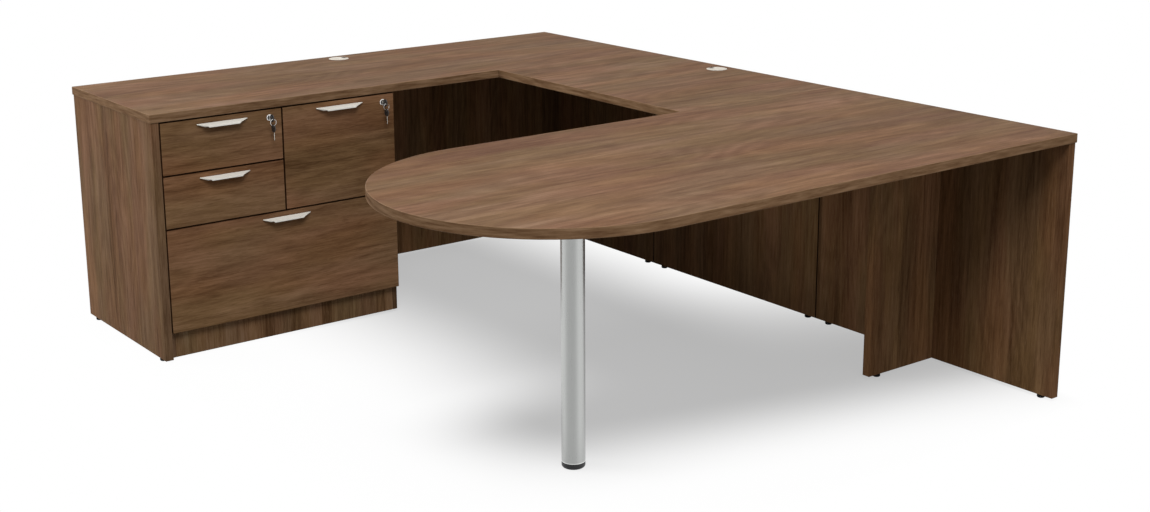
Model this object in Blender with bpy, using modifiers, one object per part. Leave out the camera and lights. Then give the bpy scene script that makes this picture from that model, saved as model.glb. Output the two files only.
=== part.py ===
"""U-shaped office desk: a credenza with a storage pedestal, a bridge and a round-ended peninsula.

Metres, +Z up. The origin is on the floor under the middle of the overall box. +X runs towards the side
that the bridge closes, and +Y towards the credenza, so the sitter faces into the U from -X.
"""

import math

import bmesh
import bpy
from mathutils import Matrix, Vector

# Worktops
DESK_HEIGHT = 0.750
TOP_THICKNESS = 0.025
CREDENZA_LENGTH = 1.829
CREDENZA_DEPTH = 0.586
BRIDGE_LENGTH = 0.899
BRIDGE_DEPTH = 0.621
PENINSULA_LENGTH = 1.842
PENINSULA_DEPTH = 0.880
TOP_EDGE_ROUND = 0.0015

# Upright panels
PANEL_THICKNESS = 0.025
BACK_PANEL_THICKNESS = 0.018
TOP_OVERHANG = 0.003
BRIDGE_BEARING = 0.088
PENINSULA_BEARING = 0.020
TEE_LENGTH = 0.266
BOARD_EDGE_ROUND = 0.0008

# Levelling glides
GLIDE_HEIGHT = 0.010
GLIDE_RADIUS = 0.011
GLIDE_STEM_RADIUS = 0.004
GLIDE_BASE_THICKNESS = 0.007
GLIDE_EDGE_ROUND = 0.002
GLIDE_STEM_IN_PANEL = 0.006
GLIDE_INSET = 0.045

# Pedestal carcass and drawer fronts
PEDESTAL_WIDTH = 0.783
BOARD_THICKNESS = 0.016
FRONT_THICKNESS = 0.018
FRONT_CLEARANCE = 0.001
FRONT_TOP_GAP = 0.004
FRONT_GAP = 0.0035
FRONT_SIDE_REVEAL = 0.0025
PLINTH_TOP_HEIGHT = 0.090

# Drawer boxes
BOX_WALL = 0.012
BOX_BOTTOM_THICKNESS = 0.006
BOX_BOTTOM_RECESS = 0.010
BOX_RISE = 0.022
BOX_TOP_DROP = 0.0435
BOX_BACK_CLEARANCE = 0.045

# Drawer runners, two folded steel sections that nest
RUNNER_SPACE = 0.0127
RUNNER_HEIGHT = 0.035
RUNNER_GAUGE = 0.0012
RUNNER_RISE = 0.040
RUNNER_FOLD_ROUND = 0.0015
RUNNER_FLANGE_SHARE = 0.78
RUNNER_SETBACK = 0.002
RUNNER_SHORTER_THAN_BOX = 0.030
BALL_GAP = 0.0004

# Drawer pulls, folded from sheet and measured along the middle of the sheet
PULL_LENGTH = 0.166
PULL_FRONT_LENGTH = 0.1075
PULL_FLANGE_LENGTH = 0.112
PULL_PROJECTION = 0.020
PULL_SLOPE_DROP = 0.006
PULL_LIP = 0.0052
PULL_FLANGE = 0.0075
PULL_SHEET = 0.0016
PULL_EDGE_ROUND = 0.0005
PULL_BELOW_FRONT_TOP = 0.0167

# Cylinder locks
LOCK_SIDE_INSET = 0.040
LOCK_BELOW_FRONT_TOP = 0.025
BARREL_RADIUS = 0.0080
BARREL_HEAD_RADIUS = 0.0095
BARREL_HEAD_PROUD = 0.0022
BARREL_BEHIND_FRONT = 0.0060
CORE_RADIUS = 0.0056
CORE_PROUD = 0.0027
CAM_LENGTH = 0.022
CAM_WIDTH = 0.009
CAM_THICKNESS = 0.003
STRIKE_CLEARANCE = 0.002

# Keys and their rings
KEY_BOW_RADIUS = 0.0115
KEY_BOW_THICKNESS = 0.0026
KEY_HOLE_RADIUS = 0.0032
KEY_HOLE_OFFSET = 0.0065
KEY_BLADE_WIDTH = 0.0075
KEY_BLADE_THICKNESS = 0.0018
KEY_BLADE_LENGTH = 0.024
KEY_SHOULDER_GAP = 0.003
KEY_NOTCH = 0.0016
KEY_NOTCH_PLACE_SHARES = (0.30, 0.48, 0.66, 0.84)
RING_RADIUS = 0.0095
RING_WIRE_RADIUS = 0.0008

# Post leg
LEG_RADIUS = 0.0300
LEG_WALL = 0.002
LEG_FROM_ROUND_END = 0.512
LEG_BEHIND_MIDDLE = 0.018
LEG_PLATE_RADIUS = 0.058
LEG_PLATE_THICKNESS = 0.004
LEG_WELD = 0.003
LEG_SCREW_RADIUS = 0.0027
LEG_SCREW_CIRCLE_RADIUS = 0.046
LEG_SCREWS = 4
FOOT_HEIGHT = 0.0155
FOOT_EDGE_ROUND = 0.0065
FOOT_SPIGOT_LENGTH = 0.018

# Cable grommets
GROMMET_EDGE_INSET = 0.060
BRIDGE_GROMMET_FROM_CREDENZA = 0.434
GROMMET_HOLE_RADIUS = 0.0300
GROMMET_FLANGE_RADIUS = 0.0335
GROMMET_FLANGE_THICKNESS = 0.0018
GROMMET_WALL = 0.0020
GROMMET_LEDGE = 0.0025
CAP_THICKNESS = 0.0030
CAP_SLOT_WIDTH = 0.020
CAP_SLOT_REACH = 0.016
CREDENZA_CAP_TURN = 0
BRIDGE_CAP_TURN = math.radians(105)

# Fits
JOINT_GAP = 0.0003
CUT_OVERRUN = 0.001
MERGE_DISTANCE = 0.00002

# Smoothness of round shapes
ROUND_END_STEPS = 40
LEG_STEPS = 32
FOOT_ROUND_STEPS = 4
GROMMET_STEPS = 36
LOCK_STEPS = 20
GLIDE_STEPS = 12
HOLE_STEPS = 16
SHARP_ANGLE = math.radians(30)
FLAT_ANGLE = math.radians(0.5)

# Places that follow from the sizes above
OVERALL_LENGTH = max(CREDENZA_LENGTH, PENINSULA_LENGTH)
OVERALL_SPAN = CREDENZA_DEPTH + BRIDGE_LENGTH + PENINSULA_DEPTH
OUTER_X = OVERALL_LENGTH / 2
BACK_Y = OVERALL_SPAN / 2
CREDENZA_FRONT_Y = BACK_Y - CREDENZA_DEPTH
PENINSULA_BACK_Y = CREDENZA_FRONT_Y - BRIDGE_LENGTH
PENINSULA_FRONT_Y = PENINSULA_BACK_Y - PENINSULA_DEPTH
PENINSULA_MIDDLE_Y = PENINSULA_FRONT_Y + PENINSULA_DEPTH / 2
CREDENZA_LEFT_X = OUTER_X - CREDENZA_LENGTH
BRIDGE_INNER_X = OUTER_X - BRIDGE_DEPTH
TOP_UNDERSIDE = DESK_HEIGHT - TOP_THICKNESS
PANEL_TOP = TOP_UNDERSIDE - JOINT_GAP

PANEL_OUTER_X = OUTER_X - TOP_OVERHANG
PANEL_INNER_X = PANEL_OUTER_X - PANEL_THICKNESS
PANEL_BACK_Y = BACK_Y - TOP_OVERHANG
PANEL_FRONT_Y = PENINSULA_FRONT_Y + TOP_OVERHANG
LEFT_GABLE_OUTER_X = CREDENZA_LEFT_X + TOP_OVERHANG
LEFT_GABLE_INNER_X = LEFT_GABLE_OUTER_X + PANEL_THICKNESS
CREDENZA_SEAM_Y = CREDENZA_FRONT_Y - BRIDGE_BEARING
PENINSULA_SEAM_Y = PENINSULA_BACK_Y + PENINSULA_BEARING

FACE_Y = CREDENZA_FRONT_Y + TOP_OVERHANG
FRONT_REAR_Y = FACE_Y + FRONT_THICKNESS
CARCASS_FRONT_Y = FRONT_REAR_Y + FRONT_CLEARANCE
CARCASS_BACK_Y = PANEL_BACK_Y - BACK_PANEL_THICKNESS - JOINT_GAP
PEDESTAL_LEFT_X = LEFT_GABLE_INNER_X + JOINT_GAP
PEDESTAL_RIGHT_X = PEDESTAL_LEFT_X + PEDESTAL_WIDTH
INSIDE_LEFT_X = PEDESTAL_LEFT_X + BOARD_THICKNESS
INSIDE_RIGHT_X = PEDESTAL_RIGHT_X - BOARD_THICKNESS
COLUMN_SPLIT_X = (PEDESTAL_LEFT_X + PEDESTAL_RIGHT_X) / 2
PARTITION_LEFT_X = COLUMN_SPLIT_X - BOARD_THICKNESS / 2
PARTITION_RIGHT_X = COLUMN_SPLIT_X + BOARD_THICKNESS / 2
FRONT_TOP = TOP_UNDERSIDE - FRONT_TOP_GAP
ROW_SPLIT = (FRONT_TOP + PLINTH_TOP_HEIGHT) / 2
UPPER_BOTTOM = ROW_SPLIT + FRONT_GAP / 2
LOWER_TOP = ROW_SPLIT - FRONT_GAP / 2
BOX_SPLIT = (FRONT_TOP + UPPER_BOTTOM) / 2
SHELF_BOTTOM = ROW_SPLIT - BOARD_THICKNESS / 2
SHELF_TOP = ROW_SPLIT + BOARD_THICKNESS / 2
TOP_PANEL_BOTTOM = PANEL_TOP - BOARD_THICKNESS
BOX_FRONT_Y = FRONT_REAR_Y + JOINT_GAP
BOX_BACK_Y = CARCASS_BACK_Y - BOX_BACK_CLEARANCE

BORE_RADIUS = CORE_RADIUS + JOINT_GAP
BARREL_TAIL = FRONT_THICKNESS + BARREL_BEHIND_FRONT
CAM_START = BARREL_TAIL + JOINT_GAP
KEY_HOLE_OUT = CORE_PROUD + KEY_SHOULDER_GAP + KEY_BOW_RADIUS + KEY_HOLE_OFFSET
KEY_TIP = KEY_HOLE_OFFSET + KEY_BOW_RADIUS + KEY_BLADE_LENGTH
HANG = KEY_HOLE_RADIUS - RING_WIRE_RADIUS - JOINT_GAP

# Colour, roughness and metallic value of each finish
FINISHES = {
    "worktop_laminate": ((0.235, 0.135, 0.078, 1), 0.45, 0.0),
    "panel_laminate": ((0.155, 0.092, 0.050, 1), 0.50, 0.0),
    "front_laminate": ((0.115, 0.060, 0.028, 1), 0.50, 0.0),
    "carcass_board": ((0.120, 0.068, 0.036, 1), 0.60, 0.0),
    "drawer_board": ((0.190, 0.115, 0.066, 1), 0.60, 0.0),
    "zinc_steel": ((0.560, 0.570, 0.580, 1), 0.38, 1.0),
    "satin_silver": ((0.640, 0.640, 0.630, 1), 0.30, 1.0),
    "chrome": ((0.780, 0.780, 0.790, 1), 0.12, 1.0),
    "grommet_silver": ((0.620, 0.590, 0.540, 1), 0.40, 0.2),
    "black_plastic": ((0.018, 0.018, 0.018, 1), 0.45, 0.0),
}


def new_collection(name):
    """Make a collection under the scene's own."""
    collection = bpy.data.collections.new(name)
    bpy.context.scene.collection.children.link(collection)
    return collection


def material(name):
    """Return the Principled material of a finish, made on first use."""
    found = bpy.data.materials.get(name)
    if found:
        return found
    colour, roughness, metallic = FINISHES[name]
    made = bpy.data.materials.new(name)
    made.use_nodes = True
    shader = made.node_tree.nodes["Principled BSDF"]
    shader.inputs["Base Color"].default_value = colour
    shader.inputs["Roughness"].default_value = roughness
    shader.inputs["Metallic"].default_value = metallic
    made.diffuse_color = colour
    return made


def move_to(obj, collection):
    """Put an object in one collection only."""
    for held in list(obj.users_collection):
        held.objects.unlink(obj)
    collection.objects.link(obj)


def part(obj, name, finish):
    """Name a finished piece, give it its material and file it with the desk."""
    obj.name = name
    obj.data.name = name
    obj.data.materials.clear()
    obj.data.materials.append(material(finish))
    move_to(obj, parts)
    return obj


def cutter(obj, name):
    """File a shape that only cuts or joins, so that it is drawn as wire and left out of the desk."""
    obj.name = name
    obj.hide_render = True
    obj.display_type = "WIRE"
    move_to(obj, cutters)
    return obj


def solid_box(low, high):
    """A box between two corners, with its scale applied."""
    low, high = Vector(low), Vector(high)
    bpy.ops.mesh.primitive_cube_add(size=1, location=(low + high) / 2)
    obj = bpy.context.object
    obj.scale = high - low
    bpy.ops.object.transform_apply(location=False, rotation=False, scale=True)
    return obj


def solid_cylinder(centre, radius, length, turn=(0, 0, 0), steps=HOLE_STEPS):
    """A cylinder about its centre, with its axis along Z before it is turned."""
    bpy.ops.mesh.primitive_cylinder_add(
        vertices=steps, radius=radius, depth=length, location=centre, rotation=turn)
    obj = bpy.context.object
    obj.data.shade_smooth()
    obj.data.set_sharp_from_angle(angle=SHARP_ANGLE)
    return obj


def mesh_object(name, bm):
    """Turn a bmesh into an object of the scene."""
    mesh = bpy.data.meshes.new(name)
    bm.to_mesh(mesh)
    bm.free()
    obj = bpy.data.objects.new(name, mesh)
    bpy.context.scene.collection.objects.link(obj)
    return obj


def rounded(obj, width, segments=1):
    """Round the sharp edges of a piece."""
    bevel = obj.modifiers.new("edge_round", "BEVEL")
    bevel.width = width
    bevel.segments = segments
    bevel.limit_method = "ANGLE"
    bevel.angle_limit = SHARP_ANGLE
    return obj


def combine(obj, tool, operation):
    """Cut a piece by a tool, or join the tool to it."""
    boolean = obj.modifiers.new(tool.name, "BOOLEAN")
    boolean.operation = operation
    boolean.solver = "EXACT"
    boolean.object = tool


def turned(name, profile, steps, closed=False):
    """Turn a profile of (radius, height) about Z. It runs down the outer side from the top."""
    bm = bmesh.new()
    points = [bm.verts.new((radius, 0, height)) for radius, height in profile]
    for first, second in zip(points, points[1:]):
        bm.edges.new((first, second))
    if closed:
        bm.edges.new((points[-1], points[0]))
    obj = mesh_object(name, bm)
    screw = obj.modifiers.new("turn", "SCREW")
    screw.steps = steps
    screw.render_steps = steps
    screw.use_merge_vertices = True
    screw.merge_threshold = MERGE_DISTANCE
    screw.use_smooth_shade = True
    return obj


def real_mesh(obj):
    """Replace an object by a plain mesh of its evaluated shape, in place."""
    bpy.context.view_layer.update()
    evaluated = obj.evaluated_get(bpy.context.evaluated_depsgraph_get())
    mesh = bpy.data.meshes.new_from_object(evaluated)
    bm = bmesh.new()
    bm.from_mesh(mesh)
    bmesh.ops.remove_doubles(bm, verts=bm.verts, dist=MERGE_DISTANCE)
    bmesh.ops.dissolve_limit(bm, angle_limit=FLAT_ANGLE, verts=bm.verts, edges=bm.edges)
    bm.to_mesh(mesh)
    bm.free()
    made = bpy.data.objects.new(obj.name, mesh)
    made.matrix_world = obj.matrix_world
    bpy.context.scene.collection.objects.link(made)
    bpy.data.objects.remove(obj)
    return made


def carry(name, place, pieces):
    """Hang pieces that move together on an empty that stands on their joint."""
    empty = bpy.data.objects.new(name, None)
    empty.location = place
    parts.objects.link(empty)
    for piece in pieces:
        piece.parent = empty
        piece.matrix_parent_inverse = Matrix.Translation(-Vector(place))
    return empty


def board(name, low, high, finish):
    """A rectangular board with eased edges."""
    return part(rounded(solid_box(low, high), BOARD_EDGE_ROUND), name, finish)


def glide(x, y):
    """A levelling glide: a round base with a stem that runs up into its panel."""
    profile = (
        (0, GLIDE_HEIGHT + GLIDE_STEM_IN_PANEL),
        (GLIDE_STEM_RADIUS, GLIDE_HEIGHT + GLIDE_STEM_IN_PANEL),
        (GLIDE_STEM_RADIUS, GLIDE_BASE_THICKNESS),
        (GLIDE_RADIUS, GLIDE_BASE_THICKNESS),
        (GLIDE_RADIUS, GLIDE_EDGE_ROUND),
        (GLIDE_RADIUS - GLIDE_EDGE_ROUND, 0),
        (0, 0),
    )
    obj = turned("glide", profile, GLIDE_STEPS)
    obj.location = (x, y, 0)
    return cutter(obj, "glide_tool")


def panel(name, low, high, glides, finish="panel_laminate"):
    """An upright board that stands on its glides."""
    obj = board(name, low, high, finish)
    for x, y in glides:
        combine(obj, glide(x, y), "UNION")
    return obj


def end_glides(x, low_y, high_y):
    """Two glide places near the ends of a panel that runs along Y."""
    return ((x, low_y + GLIDE_INSET), (x, high_y - GLIDE_INSET))


def peninsula_outline():
    """The peninsula top's outline: straight sides that end in half a circle."""
    radius = PENINSULA_DEPTH / 2
    centre_x = OUTER_X - PENINSULA_LENGTH + radius
    start = math.pi / 2
    arc = []
    for step in range(ROUND_END_STEPS + 1):
        angle = start + math.pi * step / ROUND_END_STEPS
        arc.append((centre_x + radius * math.cos(angle), PENINSULA_MIDDLE_Y + radius * math.sin(angle)))
    return arc + [(OUTER_X, PENINSULA_FRONT_Y), (OUTER_X, PENINSULA_BACK_Y)]


def flat_outline(name, outline, bottom, thickness):
    """A flat piece cut to an outline."""
    curve = bpy.data.curves.new(name, "CURVE")
    curve.dimensions = "2D"
    curve.fill_mode = "BOTH"
    curve.extrude = thickness / 2
    spline = curve.splines.new("POLY")
    spline.points.add(len(outline) - 1)
    for point, (x, y) in zip(spline.points, outline):
        point.co = (x, y, 0, 1)
    spline.use_cyclic_u = True
    obj = bpy.data.objects.new(name, curve)
    obj.location = (0, 0, bottom + thickness / 2)
    bpy.context.scene.collection.objects.link(obj)
    return real_mesh(obj)


def grommet_hole(name, x, y):
    """The tool that bores a worktop for its cable grommet."""
    middle = TOP_UNDERSIDE + TOP_THICKNESS / 2
    length = TOP_THICKNESS + 2 * CUT_OVERRUN
    hole = solid_cylinder((x, y, middle), GROMMET_HOLE_RADIUS, length, steps=GROMMET_STEPS)
    return cutter(hole, name)


def worktops():
    """The three tops, which butt against each other, and the bores for the two grommets."""
    credenza = rounded(solid_box((CREDENZA_LEFT_X, CREDENZA_FRONT_Y, TOP_UNDERSIDE),
                                 (OUTER_X, BACK_Y, DESK_HEIGHT)), TOP_EDGE_ROUND, 2)
    combine(credenza, grommet_hole("credenza_bore", *CREDENZA_GROMMET), "DIFFERENCE")
    part(credenza, "credenza_top", "worktop_laminate")

    bridge = rounded(solid_box((BRIDGE_INNER_X, PENINSULA_BACK_Y + JOINT_GAP, TOP_UNDERSIDE),
                               (OUTER_X, CREDENZA_FRONT_Y - JOINT_GAP, DESK_HEIGHT)), TOP_EDGE_ROUND, 2)
    combine(bridge, grommet_hole("bridge_bore", *BRIDGE_GROMMET), "DIFFERENCE")
    part(bridge, "bridge_top", "worktop_laminate")

    outline = flat_outline("peninsula_top", peninsula_outline(), TOP_UNDERSIDE, TOP_THICKNESS)
    part(rounded(outline, TOP_EDGE_ROUND, 2), "peninsula_top", "worktop_laminate")


def upright_panels():
    """The gables and backs that carry the tops, each on its glides."""
    left_x = (LEFT_GABLE_OUTER_X + LEFT_GABLE_INNER_X) / 2
    right_x = (PANEL_OUTER_X + PANEL_INNER_X) / 2
    panel("credenza_left_gable", (LEFT_GABLE_OUTER_X, FACE_Y, GLIDE_HEIGHT),
          (LEFT_GABLE_INNER_X, PANEL_BACK_Y, PANEL_TOP), end_glides(left_x, FACE_Y, PANEL_BACK_Y))
    panel("credenza_right_gable", (PANEL_INNER_X, CREDENZA_SEAM_Y, GLIDE_HEIGHT),
          (PANEL_OUTER_X, PANEL_BACK_Y, PANEL_TOP), end_glides(right_x, CREDENZA_SEAM_Y, PANEL_BACK_Y))
    panel("bridge_back_panel", (PANEL_INNER_X, PENINSULA_SEAM_Y + JOINT_GAP, GLIDE_HEIGHT),
          (PANEL_OUTER_X, CREDENZA_SEAM_Y - JOINT_GAP, PANEL_TOP),
          end_glides(right_x, PENINSULA_SEAM_Y, CREDENZA_SEAM_Y))
    panel("peninsula_gable", (PANEL_INNER_X, PANEL_FRONT_Y, GLIDE_HEIGHT),
          (PANEL_OUTER_X, PENINSULA_SEAM_Y, PANEL_TOP), end_glides(right_x, PANEL_FRONT_Y, PENINSULA_SEAM_Y))
    tee_end_x = PANEL_INNER_X - JOINT_GAP - TEE_LENGTH
    panel("peninsula_tee_panel", (tee_end_x, PENINSULA_MIDDLE_Y - PANEL_THICKNESS / 2, GLIDE_HEIGHT),
          (PANEL_INNER_X - JOINT_GAP, PENINSULA_MIDDLE_Y + PANEL_THICKNESS / 2, PANEL_TOP),
          ((tee_end_x + GLIDE_INSET, PENINSULA_MIDDLE_Y),))
    board("credenza_back_panel",
          (LEFT_GABLE_INNER_X + JOINT_GAP, PANEL_BACK_Y - BACK_PANEL_THICKNESS, GLIDE_HEIGHT),
          (PANEL_INNER_X - JOINT_GAP, PANEL_BACK_Y, PANEL_TOP), "panel_laminate")


def pedestal():
    """The carcass that the drawers run in. The credenza's back panel closes it at the rear."""
    side_x = PEDESTAL_RIGHT_X - BOARD_THICKNESS / 2
    board("pedestal_left_side", (PEDESTAL_LEFT_X, CARCASS_FRONT_Y, GLIDE_HEIGHT),
          (INSIDE_LEFT_X, CARCASS_BACK_Y, PANEL_TOP), "carcass_board")
    panel("pedestal_right_side", (INSIDE_RIGHT_X, CARCASS_FRONT_Y, GLIDE_HEIGHT),
          (PEDESTAL_RIGHT_X, CARCASS_BACK_Y, PANEL_TOP),
          end_glides(side_x, CARCASS_FRONT_Y, CARCASS_BACK_Y))
    left, right = INSIDE_LEFT_X + JOINT_GAP, INSIDE_RIGHT_X - JOINT_GAP
    board("pedestal_bottom", (left, CARCASS_FRONT_Y, PLINTH_TOP_HEIGHT),
          (right, CARCASS_BACK_Y, PLINTH_TOP_HEIGHT + BOARD_THICKNESS), "carcass_board")
    board("pedestal_plinth", (left, CARCASS_FRONT_Y, GLIDE_HEIGHT),
          (right, CARCASS_FRONT_Y + BOARD_THICKNESS, PLINTH_TOP_HEIGHT - JOINT_GAP), "panel_laminate")
    board("pedestal_shelf", (left, CARCASS_FRONT_Y, SHELF_BOTTOM), (right, CARCASS_BACK_Y, SHELF_TOP),
          "carcass_board")
    board("pedestal_partition", (PARTITION_LEFT_X, CARCASS_FRONT_Y, SHELF_TOP + JOINT_GAP),
          (PARTITION_RIGHT_X, CARCASS_BACK_Y, TOP_PANEL_BOTTOM - JOINT_GAP), "carcass_board")
    top = board("pedestal_top_panel", (left, CARCASS_FRONT_Y, TOP_PANEL_BOTTOM),
                (right, CARCASS_BACK_Y, PANEL_TOP), "carcass_board")
    for drawer in DRAWERS:
        if drawer["lock"]:
            combine(top, strike_slot(lock_place(drawer)), "DIFFERENCE")


def strike_slot(place):
    """The tool for the slot in the pedestal's top that a lock's cam swings up into."""
    reach = CAM_LENGTH + STRIKE_CLEARANCE
    cam_y = place[1] + CAM_START
    slot = solid_box((place[0] - reach, cam_y - STRIKE_CLEARANCE, TOP_PANEL_BOTTOM - CUT_OVERRUN),
                     (place[0] + reach, cam_y + CAM_THICKNESS + STRIKE_CLEARANCE, PANEL_TOP + CUT_OVERRUN))
    return cutter(slot, "strike_slot_tool")


def lock_place(drawer):
    """Where a lock's axis meets the drawer's face."""
    return (drawer["right"] - LOCK_SIDE_INSET, FACE_Y, drawer["top"] - LOCK_BELOW_FRONT_TOP)


def drawer_front(drawer):
    """A drawer front that covers the carcass edges, bored for its lock if it has one."""
    front = rounded(solid_box((drawer["left"], FACE_Y, drawer["bottom"]),
                              (drawer["right"], FRONT_REAR_Y, drawer["top"])), BOARD_EDGE_ROUND)
    if drawer["lock"]:
        x, y, z = lock_place(drawer)
        bore = solid_cylinder((x, y + FRONT_THICKNESS / 2, z), BARREL_RADIUS + JOINT_GAP,
                              FRONT_THICKNESS + 2 * CUT_OVERRUN, (math.pi / 2, 0, 0), LOCK_STEPS)
        combine(front, cutter(bore, "lock_bore_tool"), "DIFFERENCE")
    return part(front, drawer["name"] + "_front", "front_laminate")


def drawer_box(drawer):
    """The open box behind a front, with its bottom set up into the four walls."""
    left, right = drawer["bay_left"] + RUNNER_SPACE, drawer["bay_right"] - RUNNER_SPACE
    bottom, top = drawer["bottom"] + BOX_RISE, drawer["top"] - BOX_TOP_DROP
    floor = bottom + BOX_BOTTOM_RECESS
    box = rounded(solid_box((left, BOX_FRONT_Y, bottom), (right, BOX_BACK_Y, top)), BOARD_EDGE_ROUND)
    inner_low = (left + BOX_WALL, BOX_FRONT_Y + BOX_WALL)
    inner_high = (right - BOX_WALL, BOX_BACK_Y - BOX_WALL)
    above = solid_box((*inner_low, floor + BOX_BOTTOM_THICKNESS), (*inner_high, top + CUT_OVERRUN))
    below = solid_box((*inner_low, bottom - CUT_OVERRUN), (*inner_high, floor))
    combine(box, cutter(above, "box_inside_tool"), "DIFFERENCE")
    combine(box, cutter(below, "box_underside_tool"), "DIFFERENCE")
    return part(box, drawer["name"] + "_box", "drawer_board")


def folded_channel(name, web_x, flange_x, half_height, middle, start, length):
    """A steel channel along Y. Its web is at web_x and its two flanges reach to flange_x."""
    bm = bmesh.new()
    section = ((flange_x, half_height), (web_x, half_height), (web_x, -half_height), (flange_x, -half_height))
    points = [bm.verts.new((x, start, middle + z)) for x, z in section]
    edges = [bm.edges.new(pair) for pair in zip(points, points[1:])]
    run = bmesh.ops.extrude_edge_only(bm, edges=edges)
    moved = [item for item in run["geom"] if isinstance(item, bmesh.types.BMVert)]
    bmesh.ops.translate(bm, vec=(0, length, 0), verts=moved)
    obj = mesh_object(name, bm)
    rounded(obj, RUNNER_FOLD_ROUND, 2)
    sheet = obj.modifiers.new("gauge", "SOLIDIFY")
    sheet.thickness = RUNNER_GAUGE
    sheet.offset = 0
    sheet.use_even_offset = True
    return part(obj, name, "zinc_steel")


def runner_pair(drawer, side):
    """The two members of one runner, side -1 at the drawer's left and 1 at its right."""
    word = "left" if side < 0 else "right"
    wall = drawer["bay_left"] if side < 0 else drawer["bay_right"]
    half_gauge = RUNNER_GAUGE / 2
    middle = drawer["bottom"] + BOX_RISE + RUNNER_RISE
    length = BOX_BACK_Y - BOX_FRONT_Y - RUNNER_SHORTER_THAN_BOX
    start = CARCASS_FRONT_Y + RUNNER_SETBACK
    reach = RUNNER_SPACE * RUNNER_FLANGE_SHARE

    def inward(distance):
        return wall - side * distance

    outer_half = RUNNER_HEIGHT / 2 - half_gauge
    inner_half = outer_half - RUNNER_GAUGE - BALL_GAP
    folded_channel(f"{drawer['name']}_{word}_cabinet_runner", inward(JOINT_GAP + half_gauge), inward(reach),
                   outer_half, middle, start, length)
    web = RUNNER_SPACE - JOINT_GAP - half_gauge
    return folded_channel(f"{drawer['name']}_{word}_drawer_runner", inward(web), inward(RUNNER_SPACE - reach),
                          inner_half, middle, start, length)


def drawer_pull(drawer):
    """A folded pull: a flange on the front, a sloping plate with slanted ends, and a lip under its edge."""
    centre_x = (drawer["left"] + drawer["right"]) / 2
    rear_z = drawer["top"] - PULL_BELOW_FRONT_TOP
    rear_y = FACE_Y - JOINT_GAP - PULL_SHEET / 2
    front_y = FACE_Y - PULL_PROJECTION
    front_z = rear_z - PULL_SLOPE_DROP
    bm = bmesh.new()

    def corner(half_length, y, z):
        return bm.verts.new((half_length, y, z))

    rows = []
    for half, y, z in ((PULL_FLANGE_LENGTH / 2, rear_y, rear_z - PULL_FLANGE),
                       (PULL_LENGTH / 2, rear_y, rear_z),
                       (PULL_FRONT_LENGTH / 2, front_y, front_z),
                       (PULL_FRONT_LENGTH / 2, front_y, front_z - PULL_LIP)):
        rows.append((corner(0, y, z), corner(half, y, z)))
    for (near, far), (next_near, next_far) in zip(rows, rows[1:]):
        bm.faces.new((near, far, next_far, next_near))
    pull = mesh_object(drawer["name"] + "_pull", bm)
    pull.location = (centre_x, 0, 0)
    mirror = pull.modifiers.new("other_half", "MIRROR")
    mirror.merge_threshold = MERGE_DISTANCE
    sheet = pull.modifiers.new("sheet", "SOLIDIFY")
    sheet.thickness = PULL_SHEET
    sheet.offset = 0
    sheet.use_even_offset = True
    rounded(pull, PULL_EDGE_ROUND, 2)
    return part(pull, drawer["name"] + "_pull", "satin_silver")


def lock_barrel(drawer):
    """The lock's fixed barrel, with a domed head on the drawer's face."""
    head, rim = BARREL_HEAD_RADIUS, BARREL_HEAD_PROUD
    dome = (head + BORE_RADIUS) / 2
    profile = (
        (BORE_RADIUS, rim), (dome, rim), (head, rim / 2), (head, JOINT_GAP), (BARREL_RADIUS, JOINT_GAP),
        (BARREL_RADIUS, -BARREL_TAIL), (BORE_RADIUS, -BARREL_TAIL),
    )
    obj = turned("barrel", profile, LOCK_STEPS, closed=True)
    obj.location = lock_place(drawer)
    obj.rotation_euler = (math.pi / 2, 0, 0)
    return part(obj, drawer["name"] + "_lock_barrel", "chrome")


def lock_core(drawer):
    """The core that the key turns, with the cam on its tail and the keyway in its face."""
    x, y, z = lock_place(drawer)
    profile = ((0, CORE_PROUD), (CORE_RADIUS, CORE_PROUD), (CORE_RADIUS, -CAM_START - CAM_THICKNESS),
               (0, -CAM_START - CAM_THICKNESS))
    core = turned("core", profile, LOCK_STEPS)
    core.location = (x, y, z)
    core.rotation_euler = (math.pi / 2, 0, 0)
    half = CAM_WIDTH / 2
    arm = solid_box((x - CAM_LENGTH, y + CAM_START, z - half), (x, y + CAM_START + CAM_THICKNESS, z + half))
    combine(core, cutter(arm, "cam_tool"), "UNION")
    slot_half = KEY_BLADE_WIDTH / 2 + JOINT_GAP
    slot_side = KEY_BLADE_THICKNESS / 2 + JOINT_GAP
    depth = KEY_TIP - KEY_HOLE_OUT + JOINT_GAP
    keyway = solid_box((x - slot_side, y - CORE_PROUD - CUT_OVERRUN, z - slot_half),
                       (x + slot_side, y + depth, z + slot_half))
    combine(core, cutter(keyway, "keyway_tool"), "DIFFERENCE")
    return part(core, drawer["name"] + "_lock_core", "chrome")


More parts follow.
